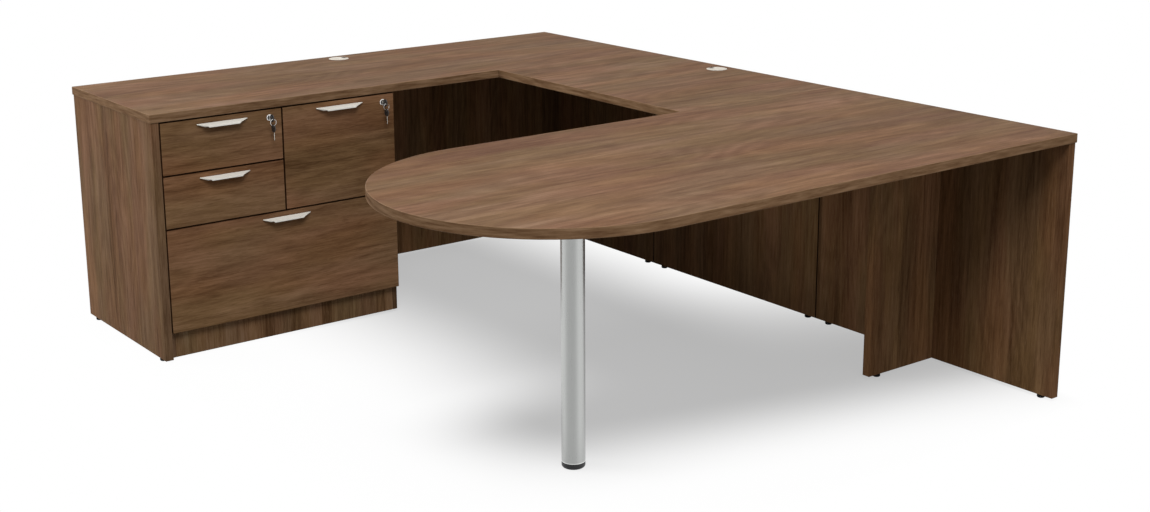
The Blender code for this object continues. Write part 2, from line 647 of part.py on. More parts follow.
def key_mesh():
    """The one key shape: its hole is at the origin, its blade runs down -Z and it is flat across X."""
    sideways = (0, math.pi / 2, 0)
    bow = solid_cylinder((0, 0, -KEY_HOLE_OFFSET), KEY_BOW_RADIUS, KEY_BOW_THICKNESS, sideways, LOCK_STEPS)
    half_width, half_thickness = KEY_BLADE_WIDTH / 2, KEY_BLADE_THICKNESS / 2
    blade = solid_box((-half_thickness, -half_width, -KEY_TIP),
                      (half_thickness, half_width, -KEY_HOLE_OFFSET - KEY_BOW_RADIUS / 2))
    rounded(blade, KEY_BLADE_THICKNESS / 4)
    combine(bow, cutter(blade, "key_blade_tool"), "UNION")
    hole = solid_cylinder((0, 0, 0), KEY_HOLE_RADIUS, KEY_BOW_THICKNESS + 2 * CUT_OVERRUN, sideways)
    combine(bow, cutter(hole, "key_hole_tool"), "DIFFERENCE")
    blade_top = -KEY_HOLE_OFFSET - KEY_BOW_RADIUS
    for share in KEY_NOTCH_PLACE_SHARES:
        place = (0, half_width, blade_top - KEY_BLADE_LENGTH * share)
        notch = solid_box((-KEY_BLADE_THICKNESS, -KEY_NOTCH / 2, -KEY_NOTCH / 2),
                          (KEY_BLADE_THICKNESS, KEY_NOTCH / 2, KEY_NOTCH / 2))
        notch.location = place
        notch.rotation_euler = (math.pi / 4, 0, 0)
        combine(bow, cutter(notch, "key_notch_tool"), "DIFFERENCE")
    made = real_mesh(bow)
    mesh = made.data
    mesh.transform(made.matrix_world)
    bpy.data.objects.remove(made)
    return mesh


def lock_keys(drawer, mesh):
    """The key in the lock, and the ring that hangs in its bow with the spare key."""
    x, y, z = lock_place(drawer)
    hole_y = y - KEY_HOLE_OUT
    key = bpy.data.objects.new("key", mesh)
    key.location = (x, hole_y, z)
    key.rotation_euler = (math.pi / 2, 0, 0)
    part(key, drawer["name"] + "_key", "black_plastic")
    pivot = (x, hole_y, z - HANG)
    bpy.ops.mesh.primitive_torus_add(
        major_radius=RING_RADIUS, minor_radius=RING_WIRE_RADIUS, major_segments=28, minor_segments=6,
        location=(x, hole_y, pivot[2] - RING_RADIUS), rotation=(math.pi / 2, 0, 0))
    ring = bpy.context.object
    ring.data.shade_smooth()
    part(ring, drawer["name"] + "_key_ring", "chrome")
    spare = bpy.data.objects.new("spare", mesh)
    spare.location = (x, hole_y, pivot[2] - 2 * RING_RADIUS - HANG)
    part(spare, drawer["name"] + "_spare_key", "black_plastic")
    return key, pivot, (ring, spare)


def drawers():
    """The four drawers with their boxes, runners and pulls, and the two locks."""
    mesh = key_mesh()
    for drawer in DRAWERS:
        name = drawer["name"]
        pieces = [drawer_front(drawer), drawer_box(drawer), drawer_pull(drawer),
                  runner_pair(drawer, -1), runner_pair(drawer, 1)]
        if drawer["lock"]:
            pieces.append(lock_barrel(drawer))
            core = lock_core(drawer)
            key, pivot, hanging = lock_keys(drawer, mesh)
            turning = carry(name + "_lock_axis", lock_place(drawer), [core, key])
            swinging = carry(name + "_ring_axis", pivot, hanging)
            swinging.parent = turning
            swinging.matrix_parent_inverse = Matrix.Translation(-Vector(lock_place(drawer)))
            pieces.append(turning)
        centre = ((drawer["left"] + drawer["right"]) / 2, FACE_Y, (drawer["bottom"] + drawer["top"]) / 2)
        carry(name + "_slide", centre, pieces)


def post_leg():
    """The round post, welded to the plate that screws it to the top, and its foot."""
    x, y = OUTER_X - PENINSULA_LENGTH + LEG_FROM_ROUND_END, PENINSULA_MIDDLE_Y + LEG_BEHIND_MIDDLE
    plate_bottom = PANEL_TOP - LEG_PLATE_THICKNESS
    bore = LEG_RADIUS - LEG_WALL
    profile = (
        (0, PANEL_TOP), (LEG_PLATE_RADIUS, PANEL_TOP), (LEG_PLATE_RADIUS, plate_bottom),
        (LEG_RADIUS + LEG_WELD, plate_bottom), (LEG_RADIUS, plate_bottom - LEG_WELD),
        (LEG_RADIUS, FOOT_HEIGHT), (bore, FOOT_HEIGHT), (bore, plate_bottom), (0, plate_bottom),
    )
    leg = turned("leg", profile, LEG_STEPS)
    leg.location = (x, y, 0)
    for screw in range(LEG_SCREWS):
        angle = 2 * math.pi * (screw + 1 / 2) / LEG_SCREWS
        place = (x + LEG_SCREW_CIRCLE_RADIUS * math.cos(angle), y + LEG_SCREW_CIRCLE_RADIUS * math.sin(angle),
                 plate_bottom + LEG_PLATE_THICKNESS / 2)
        hole = solid_cylinder(place, LEG_SCREW_RADIUS, LEG_PLATE_THICKNESS + 2 * CUT_OVERRUN)
        combine(leg, cutter(hole, "leg_screw_tool"), "DIFFERENCE")
    part(leg, "post_leg", "satin_silver")

    spigot = bore - JOINT_GAP
    shoulder = FOOT_HEIGHT - JOINT_GAP
    foot_profile = [(0, FOOT_HEIGHT + FOOT_SPIGOT_LENGTH), (spigot, FOOT_HEIGHT + FOOT_SPIGOT_LENGTH),
                    (spigot, shoulder), (LEG_RADIUS, shoulder)]
    for step in range(FOOT_ROUND_STEPS + 1):
        angle = math.pi / 2 * step / FOOT_ROUND_STEPS
        foot_profile.append((LEG_RADIUS - FOOT_EDGE_ROUND * (1 - math.cos(angle)),
                             FOOT_EDGE_ROUND * (1 - math.sin(angle))))
    foot_profile.append((0, 0))
    foot = turned("foot", foot_profile, LEG_STEPS)
    foot.location = (x, y, 0)
    part(foot, "leg_foot", "black_plastic")


def grommet(name, place, slot_turn):
    """A liner that lines the bore and a cap with a cable slot, which turns on the liner's ledge."""
    x, y = place
    outer = GROMMET_HOLE_RADIUS - JOINT_GAP
    inner = outer - GROMMET_WALL
    base = DESK_HEIGHT + JOINT_GAP
    rim = base + GROMMET_FLANGE_THICKNESS
    ledge = rim - CAP_THICKNESS - JOINT_GAP
    ledge_radius = inner - GROMMET_LEDGE
    profile = (
        (inner, rim), (outer, rim), (GROMMET_FLANGE_RADIUS, base + GROMMET_FLANGE_THICKNESS / 3),
        (GROMMET_FLANGE_RADIUS, base), (outer, base), (outer, TOP_UNDERSIDE),
        (ledge_radius, TOP_UNDERSIDE), (ledge_radius, ledge), (inner, ledge),
    )
    liner = turned("liner", profile, GROMMET_STEPS, closed=True)
    liner.location = (x, y, 0)
    part(liner, name + "_liner", "grommet_silver")

    radius = inner - JOINT_GAP
    cap = solid_cylinder((x, y, rim - CAP_THICKNESS / 2), radius, CAP_THICKNESS, steps=GROMMET_STEPS)
    slot_start = radius - CAP_SLOT_REACH
    half = CAP_SLOT_WIDTH / 2
    slot = solid_box((slot_start + half, -half, -CAP_THICKNESS), (radius + CUT_OVERRUN, half, CAP_THICKNESS))
    round_end = solid_cylinder((slot_start + half, 0, 0), half, 2 * CAP_THICKNESS, steps=HOLE_STEPS)
    for tool in (slot, round_end):
        tool.matrix_world = (Matrix.Translation((x, y, rim - CAP_THICKNESS / 2))
                             @ Matrix.Rotation(slot_turn, 4, "Z") @ Matrix.Translation(tool.location))
        combine(cap, cutter(tool, "cap_slot_tool"), "DIFFERENCE")
    part(cap, name + "_cap", "grommet_silver")
    carry(name + "_cap_axis", (x, y, rim), [cap])


for item in list(bpy.data.objects):
    bpy.data.objects.remove(item)
parts = new_collection("u_shaped_desk")
cutters = new_collection("cutters")

LEFT_COLUMN = {
    "left": PEDESTAL_LEFT_X + FRONT_SIDE_REVEAL, "right": COLUMN_SPLIT_X - FRONT_GAP / 2,
    "bay_left": INSIDE_LEFT_X, "bay_right": PARTITION_LEFT_X,
}
RIGHT_COLUMN = {
    "left": COLUMN_SPLIT_X + FRONT_GAP / 2, "right": PEDESTAL_RIGHT_X - FRONT_SIDE_REVEAL,
    "bay_left": PARTITION_RIGHT_X, "bay_right": INSIDE_RIGHT_X,
}
BOTH_COLUMNS = {
    "left": LEFT_COLUMN["left"], "right": RIGHT_COLUMN["right"],
    "bay_left": INSIDE_LEFT_X, "bay_right": INSIDE_RIGHT_X,
}
DRAWERS = (
    {"name": "upper_box_drawer", **LEFT_COLUMN, "bottom": BOX_SPLIT + FRONT_GAP / 2, "top": FRONT_TOP,
     "lock": True},
    {"name": "lower_box_drawer", **LEFT_COLUMN, "bottom": UPPER_BOTTOM, "top": BOX_SPLIT - FRONT_GAP / 2,
     "lock": False},
    {"name": "file_drawer", **RIGHT_COLUMN, "bottom": UPPER_BOTTOM, "top": FRONT_TOP, "lock": True},
    {"name": "lateral_drawer", **BOTH_COLUMNS, "bottom": PLINTH_TOP_HEIGHT, "top": LOWER_TOP, "lock": False},
)
CREDENZA_GROMMET = ((CREDENZA_LEFT_X + OUTER_X) / 2, BACK_Y - GROMMET_EDGE_INSET)
BRIDGE_GROMMET = (OUTER_X - GROMMET_EDGE_INSET, CREDENZA_FRONT_Y - BRIDGE_GROMMET_FROM_CREDENZA)

worktops()
upright_panels()
pedestal()
drawers()
post_leg()
grommet("credenza_grommet", CREDENZA_GROMMET, CREDENZA_CAP_TURN)
grommet("bridge_grommet", BRIDGE_GROMMET, BRIDGE_CAP_TURN)
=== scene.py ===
import math

import bmesh
import bpy
from bpy.props import FloatProperty, FloatVectorProperty, IntProperty, PointerProperty
from mathutils import Matrix, Vector


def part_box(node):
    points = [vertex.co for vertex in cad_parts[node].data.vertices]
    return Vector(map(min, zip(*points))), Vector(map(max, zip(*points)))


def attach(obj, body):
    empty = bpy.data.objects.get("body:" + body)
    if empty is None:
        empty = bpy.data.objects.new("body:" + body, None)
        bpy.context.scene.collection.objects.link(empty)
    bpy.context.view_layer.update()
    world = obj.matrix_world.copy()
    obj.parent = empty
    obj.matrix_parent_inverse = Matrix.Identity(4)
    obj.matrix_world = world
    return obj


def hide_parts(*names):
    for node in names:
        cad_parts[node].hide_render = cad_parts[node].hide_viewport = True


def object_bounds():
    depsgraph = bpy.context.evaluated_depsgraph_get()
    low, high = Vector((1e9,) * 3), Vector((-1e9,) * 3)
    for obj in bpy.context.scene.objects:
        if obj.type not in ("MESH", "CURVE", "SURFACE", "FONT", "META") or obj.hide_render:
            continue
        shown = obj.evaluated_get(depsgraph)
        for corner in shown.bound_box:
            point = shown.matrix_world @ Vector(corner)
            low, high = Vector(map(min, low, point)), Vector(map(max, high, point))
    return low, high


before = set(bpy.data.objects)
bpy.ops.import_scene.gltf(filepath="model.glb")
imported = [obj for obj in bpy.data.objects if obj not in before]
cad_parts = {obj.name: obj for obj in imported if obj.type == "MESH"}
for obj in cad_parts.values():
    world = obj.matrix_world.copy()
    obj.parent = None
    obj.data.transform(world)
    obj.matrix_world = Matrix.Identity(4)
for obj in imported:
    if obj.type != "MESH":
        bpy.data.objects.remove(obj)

bl_info = {
    "name": "U-Shaped Walnut Desk",
    "version": (1, 0, 0),
    "blender": (4, 5, 0),
    "location": "View3D > Sidebar > Desk",
    "description": "Dresses a U-shaped office desk: walnut laminate, fittings, leg, locks and studio",
    "category": "Object",
}

CAD_LOW, CAD_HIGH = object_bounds()
SHARP = math.radians(30)


def seen(red, green, blue):
    """The linear colour of a display colour given from 0 to 255."""
    def linear(part):
        share = part / 255
        return share / 12.92 if share <= 0.04045 else ((share + 0.055) / 1.055) ** 2.4
    return linear(red), linear(green), linear(blue)


def colour_setting(name, description, default):
    """A colour that the user can change."""
    return FloatVectorProperty(name=name, description=description, subtype="COLOR", size=3,
                               min=0, max=1, default=default)


def length_setting(name, description, default):
    """A length in metres that the user can change."""
    return FloatProperty(name=name, description=description, unit="LENGTH", precision=4, min=0,
                         default=default)


def power_setting(name, description, default):
    """A lamp's power in watts that the user can change."""
    return FloatProperty(name=name, description=description, unit="POWER", min=0, default=default)


def share_setting(name, description, default, high=1.0):
    """A plain strength or share that the user can change."""
    return FloatProperty(name=name, description=description, min=0, max=high, default=default)


class DeskWalnutSettings(bpy.types.PropertyGroup):
    """Colours and grain of the walnut laminate."""

    top_dark: colour_setting("Worktop dark", "Darkest streaks of the worktops", seen(96, 68, 48))
    top_middle: colour_setting("Worktop middle", "Main brown of the worktops", seen(128, 98, 73))
    top_light: colour_setting("Worktop light", "Palest streaks of the worktops", seen(152, 121, 95))
    panel_dark: colour_setting("Panel dark", "Darkest streaks of the upright panels", seen(84, 60, 41))
    panel_middle: colour_setting("Panel middle", "Main brown of the upright panels", seen(127, 98, 73))
    panel_light: colour_setting("Panel light", "Palest streaks of the upright panels", seen(150, 119, 92))
    front_dark: colour_setting("Front dark", "Darkest streaks of the drawer fronts", seen(86, 59, 38))
    front_middle: colour_setting("Front middle", "Main brown of the drawer fronts", seen(129, 97, 69))
    front_light: colour_setting("Front light", "Palest streaks of the drawer fronts", seen(156, 121, 90))
    inside_dark: colour_setting("Inside dark", "Darkest streaks of carcass and boxes", seen(70, 50, 34))
    inside_middle: colour_setting("Inside middle", "Main brown of carcass and boxes", seen(104, 80, 58))
    inside_light: colour_setting("Inside light", "Palest streaks of carcass and boxes", seen(128, 102, 78))
    band_shade: colour_setting("Edge band", "Shade of the edge band beside the worktop", (0.92, 0.93, 0.89))
    # Painted highlight: the pale arris colour stands in for light caught on the rounded edge.
    arris_painted_highlight: colour_setting("Arris", "Pale line where the edge band meets the face", seen(186, 158, 130))
    # Painted shade: the gap shade darkens fine lines beside gaps and seams, where shadow falls.
    gap_painted_shade: colour_setting("Gap shade", "Shade of the fine lines beside a gap", (0.06, 0.035, 0.025))
    # Painted shade: the edge shade darkens a front's edges, which lie in the shadow of the gaps.
    front_edge_painted_shade: colour_setting("Edge shade", "Shade of a drawer front's edge band", (0.30, 0.25, 0.21))
    # Painted shade: a darker, warmer tint for the panels under the worktops, in place of their shade and warm
    # bounce.
    under_top_painted_shade: colour_setting("Under shade", "Shade of the panels under the worktops", (0.93, 0.90, 0.83))
    plinth_shade: colour_setting("Plinth shade", "Shade of the plinth under the fronts", (0.95, 0.99, 1.0))
    # The seam and border widths size painted shadow lines.
    seam_width: length_setting("Seam width", "Width of the dark line at a panel seam, on each side", 0.0032)
    border_width: length_setting("Border width", "Width of the dark line round a drawer front", 0.0011)
    stave_width: length_setting("Stave width", "Usual width of the staves in upright grain", 0.062)
    pore_depth: length_setting("Pore depth", "Depth of the embossed pores", 0.00012)
    band_strength: share_setting("Bands", "Strength of the broad bands", 0.75)
    streak_strength: share_setting("Streaks", "Strength of the streaks", 0.85)
    strand_strength: share_setting("Strands", "Strength of the thin strands", 0.62)
    fibre_strength: share_setting("Fibres", "Strength of the finest fibres", 0.35)
    vein_strength: share_setting("Veins", "Strength of the dark veins", 0.13)
    pore_strength: share_setting("Pores", "How dark the pores are", 0.34)
    glint_strength: share_setting("Glints", "How pale the flecks between the pores are", 0.26)
    # The arris strength sets how strongly that painted highlight shows.
    arris_highlight_strength: share_setting("Arris strength", "How much the pale arris shows", 0.32)
    roughness: share_setting("Roughness", "Roughness of the satin laminate", 0.50)
    reflection: share_setting("Reflection", "Specular level of the satin laminate", 0.012)


class DeskMetalSettings(bpy.types.PropertyGroup):
    """Colours of the metal and plastic fittings."""

    leg: colour_setting("Leg", "Satin silver of the post leg", (0.52, 0.53, 0.52))
    pull: colour_setting("Pulls", "Satin silver of the drawer pulls", (1.0, 0.97, 0.89))
    zinc: colour_setting("Zinc", "Zinc plate of runners, screws and plates", (0.56, 0.57, 0.58))
    chrome: colour_setting("Chrome", "Chrome of locks and key rings", (0.86, 0.85, 0.83))
    nickel: colour_setting("Nickel", "Nickel plate of the key blades", (0.70, 0.67, 0.62))
    worn_nickel: colour_setting("Worn nickel", "Worn places on the key blades", (0.50, 0.47, 0.42))
    grommet: colour_setting("Grommets", "Silver plastic of the cable grommets", (0.74, 0.67, 0.57))
    plastic: colour_setting("Black plastic", "Foot, glides and key bows", (0.016, 0.016, 0.017))
    rubbed_bow: colour_setting("Rubbed bow", "Rubbed places on the key bows", (0.030, 0.030, 0.031))


class DeskFittingSettings(bpy.types.PropertyGroup):
    """Sizes of the small fittings."""

    screw_radius: length_setting("Screw radius", "Radius of a pan head", 0.0042)
    screw_height: length_setting("Screw height", "Height of a pan head", 0.0022)
    plate_length: length_setting("Plate length", "Length of a joining plate", 0.120)
    plate_width: length_setting("Plate width", "Width of a joining plate", 0.040)
    plate_thickness: length_setting("Plate thickness", "Thickness of a joining plate", 0.002)
    plate_gap: length_setting("Plate gap", "Gap between a joining plate and the worktops", 0.0002)
    plate_corner: length_setting("Plate corner", "Radius of a joining plate's corners", 0.006)
    rail_height: length_setting("Rail height", "Height of a file rail above the drawer side", 0.012)
    rail_wall: length_setting("Rail wall", "Thickness of a file rail's plastic", 0.0016)
    rail_grip: length_setting("Rail grip", "Reach of a file rail down the drawer side", 0.010)
    rail_gap: length_setting("Rail gap", "Gap between a file rail and the drawer side", 0.0003)
    rail_ease: length_setting("Rail ease", "Chamfer on a file rail's edges", 0.00025)
    pull_sheet: length_setting("Pull sheet", "Thickness of a pull's sheet", 0.0016)
    pull_slope: length_setting("Pull slope", "Drop of a pull's plate from its fold to its lip", 0.006)
    pull_lip: length_setting("Pull lip", "Height of a pull's lip", 0.0052)
    pull_flange_share: share_setting("Pull flange share", "Length of the flange beside the fold's", 0.67)
    pull_front_share: share_setting("Pull front share", "Length of the front edge beside the fold's", 0.65)
    leg_wall: length_setting("Leg wall", "Wall of the post's tube", 0.002)
    leg_plate: length_setting("Leg plate", "Thickness of the post's mounting plate", 0.004)
    leg_screw_circle: length_setting("Leg screw circle", "Radius that the plate's screws lie on", 0.046)
    leg_weld: length_setting("Leg weld", "Size of the weld bead under the plate", 0.0035)
    leg_ease: length_setting("Leg ease", "Chamfer on the post's edges", 0.0006)
    # The bright cut rim is a painted highlight.
    leg_rim_highlight: length_setting("Leg rim", "Height of the bright cut rim at the tube's end", 0.0022)
    weld_steps: IntProperty(name="Weld steps", description="Steps round the weld bead", min=2, default=6)
    leg_steps: IntProperty(name="Leg steps", description="Sides of the post leg", min=24, default=96)


class DeskStudioSettings(bpy.types.PropertyGroup):
    """Camera, lamps and floor."""

    camera_place: FloatVectorProperty(
        name="Camera place", description="Where the camera stands", subtype="TRANSLATION", size=3,
        default=(-2.7643, -3.8041, 1.6643))
    camera_turn: FloatVectorProperty(
        name="Camera turn", description="How the camera is turned", subtype="EULER", size=3,
        default=(math.radians(75.8419), math.radians(0.3885), math.radians(-36.7887)))
    lens: FloatProperty(
        name="Lens", description="Focal length in millimetres", unit="CAMERA", min=1, default=52.1547)
    shift: FloatVectorProperty(
        name="Shift", description="Lens shift across and up", size=2, default=(0.0198, -0.0487))
    key_power: power_setting("Key power", "Watts of the high lamp in front", 250)
    top_power: power_setting("Top power", "Watts of the lamp over the credenza", 15)
    side_power: power_setting("Side power", "Watts of the low lamp at the left", 125)
    front_power: power_setting("Front power", "Watts of the low lamp in front", 27)
    right_power: power_setting("Right power", "Watts of the low lamp at the right", 35)
    ambient: share_setting("Ambient", "Strength of the light from all round", 0.30, 2.0)
    # Painted reflection: the flag darkens the floor that metal sees in front of the leg.
    flag: share_setting("Flag", "How dark metal sees the floor in front of the leg", 0.33)
    floor_bounce: share_setting("Floor bounce", "How much light the floor sends back", 0.25)
    shadow_lift: share_setting("Shadow lift", "How far the floor's shadow is lightened", 0.445)
    open_floor: share_setting("Open floor", "How far the floor outside the shaded part nears white", 0.53)
    # The grey under and between the tops is a painted shadow.
    shadow_floor: share_setting("Shadow floor", "How pale the floor is under and between the tops", 0.25)
    backdrop: colour_setting("Backdrop", "Colour of floor and background", (1.0, 1.0, 1.0))


# Layers of noise: waves per metre along, across and through the piece, then detail and roughness.
LAYERS = {
    "wander": ((2.2, 6.0, 6.0), 3.0, 0.5),
    "bands": ((0.9, 8.5, 8.5), 2.5, 0.5),
    "flames": ((1.1, 3.6, 3.6), 1.2, 0.4),
    "streaks": ((4.5, 62.0, 62.0), 4.0, 0.62),
    "strands": ((19.0, 290.0, 290.0), 3.0, 0.6),
    "fibres": ((80.0, 1500.0, 1500.0), 2.0, 0.5),
    "flecks": ((30.0, 360.0, 360.0), 1.0, 0.5),
    "veins": ((1.9, 27.0, 27.0), 2.5, 0.5),
    "red_cast": ((1.9, 6.5, 6.5), 1.5, 0.5),
    "blue_cast": ((3.1, 11.0, 11.0), 1.5, 0.5),
    "sheen": ((3.0, 3.0, 3.0), 2.0, 0.5),
    "edge_grain": ((11.0, 11.0, 130.0), 4.0, 0.65),
    "pull_brush": ((60.0, 900.0, 900.0), 3.0, 0.6),
    "leg_brush": ((300.0, 300.0, 9.0), 3.0, 0.6),
    "lock_brush": ((500.0, 500.0, 500.0), 3.0, 0.6),
    "ring_brush": ((900.0, 900.0, 900.0), 3.0, 0.6),
    "metal_cloud": ((14.0, 14.0, 14.0), 3.0, 0.5),
    "scratches": ((420.0, 900.0, 300.0), 2.0, 0.5),
    "zinc_cloud": ((30.0, 30.0, 30.0), 3.0, 0.5),
    "moulding": ((1800.0, 1800.0, 1800.0), 2.0, 0.5),
    "rubbing": ((55.0, 55.0, 55.0), 4.0, 0.5),
    "key_grain": ((900.0, 900.0, 900.0), 3.0, 0.5),
    "floor_grain": ((40.0, 40.0, 40.0), 3.0, 0.5),
}
NOISE_MEAN = 0.5

# Masks: the value at which each starts and the value at which it is full.
MASKS = {
    "pores": (0.62, 0.72),
    "glints": (0.27, 0.36),
    "veins": (0.0, 0.030),
    "cast": (0.36, 0.64),
    "box_wall": (0.5, 0.6),
    "worktop_face": (0.30, 0.62),
    # The arris masks place the painted highlight on a worktop's rounded edge.
    "arris_start": (0.30, 0.55),
    "arris_end": (0.90, 0.99),
    # front_face and front_line place the painted shade on a front's edges and the painted shadow line round
    # its face.
    "front_face": (0.45, 0.85),
    "front_line": (0.2, 0.45),
    "above_glide": (0.0093, 0.0098),
    "scratches": (0.66, 0.74),
    "rubbing": (0.48, 0.72),
    # level_plastic places the painted shade on upright plastic walls.
    "level_plastic": (0.2, 0.6),
    "key_grain": (-0.3, 0.3),
    # The next mask places the painted reflection in front of the leg.
    "leg_painted_reflection": (0.15, 1.0),
    "floor_far": (0.0, 0.7),
    # The floor masks below shape the painted shadow under the desk.
    "floor_ahead": (0.10, 0.45),
    "floor_left_behind": (-0.15, 0.60),
    "floor_left_ahead": (0.28, 0.75),
    "floor_front": (0.545, 1.085),
    "floor_back_across": (0.45, 1.0),
    "floor_back_along": (-0.6, 0.4),
}

# Axes of the shared frame, and the sockets of a Mix node that mixes colours.
X, Y, Z = range(3)
MIX_SHARE, MIX_FIRST, MIX_SECOND, MIX_RESULT = 0, 6, 7, 2


class Value:
    """A shader socket that can stand in a sum."""

    def __init__(self, nodes, socket):
        self.nodes = nodes
        self.socket = socket

    def sum(self, operation, first, second=0.0):
        """Add one Math node."""
        return self.nodes.node("ShaderNodeMath", {"operation": operation}, {0: first, 1: second})

    def __add__(self, other):
        return self.sum("ADD", self, other)

    __radd__ = __add__

    def __sub__(self, other):
        return self.sum("SUBTRACT", self, other)

    def __rsub__(self, other):
        return self.sum("SUBTRACT", other, self)

    def __mul__(self, other):
        return self.sum("MULTIPLY", self, other)

    __rmul__ = __mul__

    def __truediv__(self, other):
        return self.sum("DIVIDE", self, other)

    def __neg__(self):
        return self.sum("MULTIPLY", self, -1.0)

    def __abs__(self):
        return self.sum("ABSOLUTE", self)

    def sine(self):
        """The sine of the value in radians."""
        return self.sum("SINE", self)

    def most(self, other):
        """The larger of two values."""
        return self.sum("MAXIMUM", self, other)


class Nodes:
    """A node tree and the means to add to it."""

    def __init__(self, tree):
        self.tree = tree

    def node(self, kind, settings=None, sockets=None, output=0):
        """Add a node: its settings first, then the values or links of its sockets."""
        made = self.tree.nodes.new(kind)
        for name, setting in (settings or {}).items():
            if name == "stops":
                ramp = made.color_ramp.elements
                while len(ramp) < len(setting):
                    ramp.new(1.0)
                for element, (place, colour) in zip(ramp, setting):
                    element.position = place
                    element.color = (*colour, 1)
            else:
                setattr(made, name, setting)
        for name, given in (sockets or {}).items():
            if isinstance(given, Value):
                self.tree.links.new(given.socket, made.inputs[name])
            else:
                made.inputs[name].default_value = given
        return Value(self, made.outputs[output])

    def ray(self, kind):
        """1 on rays of one kind, and 0 on the others."""
        return self.node("ShaderNodeLightPath", output=f"Is {kind} Ray")

    def shown(self):
        """1 where the eye or a reflection looks, and 0 for the light that falls on the desk."""
        return self.ray("Camera").most(self.ray("Glossy")).most(self.ray("Transmission"))


class Finish(Nodes):
    """A material and the nodes behind it."""

    def __init__(self, name):
        self.material = bpy.data.materials.new(name)
        self.material.use_nodes = True
        super().__init__(self.material.node_tree)
        self.shader = self.tree.nodes["Principled BSDF"]

    def place(self):
        """The place on the piece as three values, in metres."""
        point = self.node("ShaderNodeTexCoord", output="Object")
        return [self.node("ShaderNodeSeparateXYZ", None, {0: point}, axis) for axis in (X, Y, Z)]

    def facing(self, axis):
        """How squarely the surface faces along an axis, from 0 to 1."""
        normal = self.node("ShaderNodeTexCoord", output="Normal")
        return abs(self.node("ShaderNodeSeparateXYZ", None, {0: normal}, axis))

    def vector(self, x, y, z):
        """Three values as a vector."""
        return self.node("ShaderNodeCombineXYZ", None, {0: x, 1: y, 2: z})

    def layer(self, point, name):
        """A named layer of noise, from 0 to 1."""
        stretch, detail, roughness = LAYERS[name]
        scaled = self.node("ShaderNodeVectorMath", {"operation": "MULTIPLY"}, {0: point, 1: stretch})
        return self.node("ShaderNodeTexNoise", None,
                         {"Vector": scaled, "Scale": 1.0, "Detail": detail, "Roughness": roughness})

    def waver(self, point, name):
        """A named layer of noise that swings about zero."""
        return self.layer(point, name) - NOISE_MEAN

    def between(self, value, low, high, smooth=True):
        """0 below low, 1 above high and an even rise between."""
        kind = "SMOOTHSTEP" if smooth else "LINEAR"
        return self.node("ShaderNodeMapRange", {"interpolation_type": kind, "clamp": True},
                         {"Value": value, "From Min": low, "From Max": high})

    def mask(self, value, name):
        """A named mask of a value."""
        return self.between(value, *MASKS[name])

    def ramp(self, value, places, colours):
        """A colour from a value, by the places of the colours."""
        return self.node("ShaderNodeValToRGB", {"stops": list(zip(places, colours))}, {0: value})

    def mix(self, share, first, second, blend="MIX"):
        """Two colours mixed by a share."""
        def solid(given):
            return given if isinstance(given, Value) else (*given, 1)
        return self.node("ShaderNodeMix", {"data_type": "RGBA", "blend_type": blend},
                         {MIX_SHARE: share, MIX_FIRST: solid(first), MIX_SECOND: solid(second)}, MIX_RESULT)

    def shaded(self, colour, shade):
        """A colour multiplied by a shade."""
        return self.mix(1.0, colour, shade, "MULTIPLY")

    def set(self, **sockets):
        """Set or link the shader's own sockets, named with underscores."""
        for name, given in sockets.items():
            socket = self.shader.inputs[name.replace("_", " ")]
            if isinstance(given, Value):
                self.tree.links.new(given.socket, socket)
            elif isinstance(given, (tuple, list)):
                socket.default_value = (*given, 1)
            else:
                socket.default_value = given
        return self.material

    def bump(self, height, distance, strength=1.0):
        """A normal from a height."""
        return self.node("ShaderNodeBump", None,
                         {"Height": height, "Distance": distance, "Strength": strength})


def grey(level):
    """A neutral colour."""
    return level, level, level


def scaled(colour, share, lift=0.0):
    """A colour made darker or paler, up to white."""
    return [min(1.0, part * share + lift) for part in colour]


# Printed walnut: how far each seed moves the grain on, its figure, its colours and its gloss.
PLAIN = (1.0, 1.0, 1.0)
SEED_ALONG = 1.7
SEED_ACROSS = 0.61
FLAME_TURNS = 110.0
MIDDLE_TONE = 0.5
TONE_STOPS = (0.08, 0.34, 0.56, 0.92)
BAND_STOPS = (0.30, 0.50, 0.70)
LINE_CORE = 0.6
STRAND_SHEEN = 0.14
CLOUD_SHEEN = 0.06
PORE_BUMP = 0.6
CASTS = (("red_cast", (1.05, 0.972, 0.965), (0.97, 1.010, 0.990)),
         ("blue_cast", (1.0, 1.0, 1.06), (1.0, 1.0, 0.95)))
GRAINS = {
    "worktop": lambda x, y, z: (x, y, z),
    "front": lambda x, y, z: (x, z, y),
    "upright": lambda x, y, z: (z, x + y, y - x),
}


def round_the_box(finish, x, y, z):
    """Grain that runs along each wall of a drawer box, and from front to back on its bottom."""
    side, level = (finish.mask(finish.facing(axis), "box_wall") for axis in (X, Z))
    return x + (y - x) * side.most(level), z + (x - z) * level, 0.0


def edge_banded(finish, colour, point, shades):
    """A worktop's colour with its edge band, and a painted highlight on the arris between them."""
    look = bpy.context.scene.desk_walnut
    upward = finish.facing(Z)
    band = finish.ramp(finish.layer(point, "edge_grain"), BAND_STOPS, shades)
    colour = finish.mix(1.0 - finish.mask(upward, "worktop_face"), colour,
                        finish.shaded(band, look.band_shade))
    arris_painted_highlight = finish.mask(upward, "arris_start") * (1.0 - finish.mask(upward, "arris_end"))
    return finish.mix(arris_painted_highlight * look.arris_highlight_strength, colour, look.arris_painted_highlight)


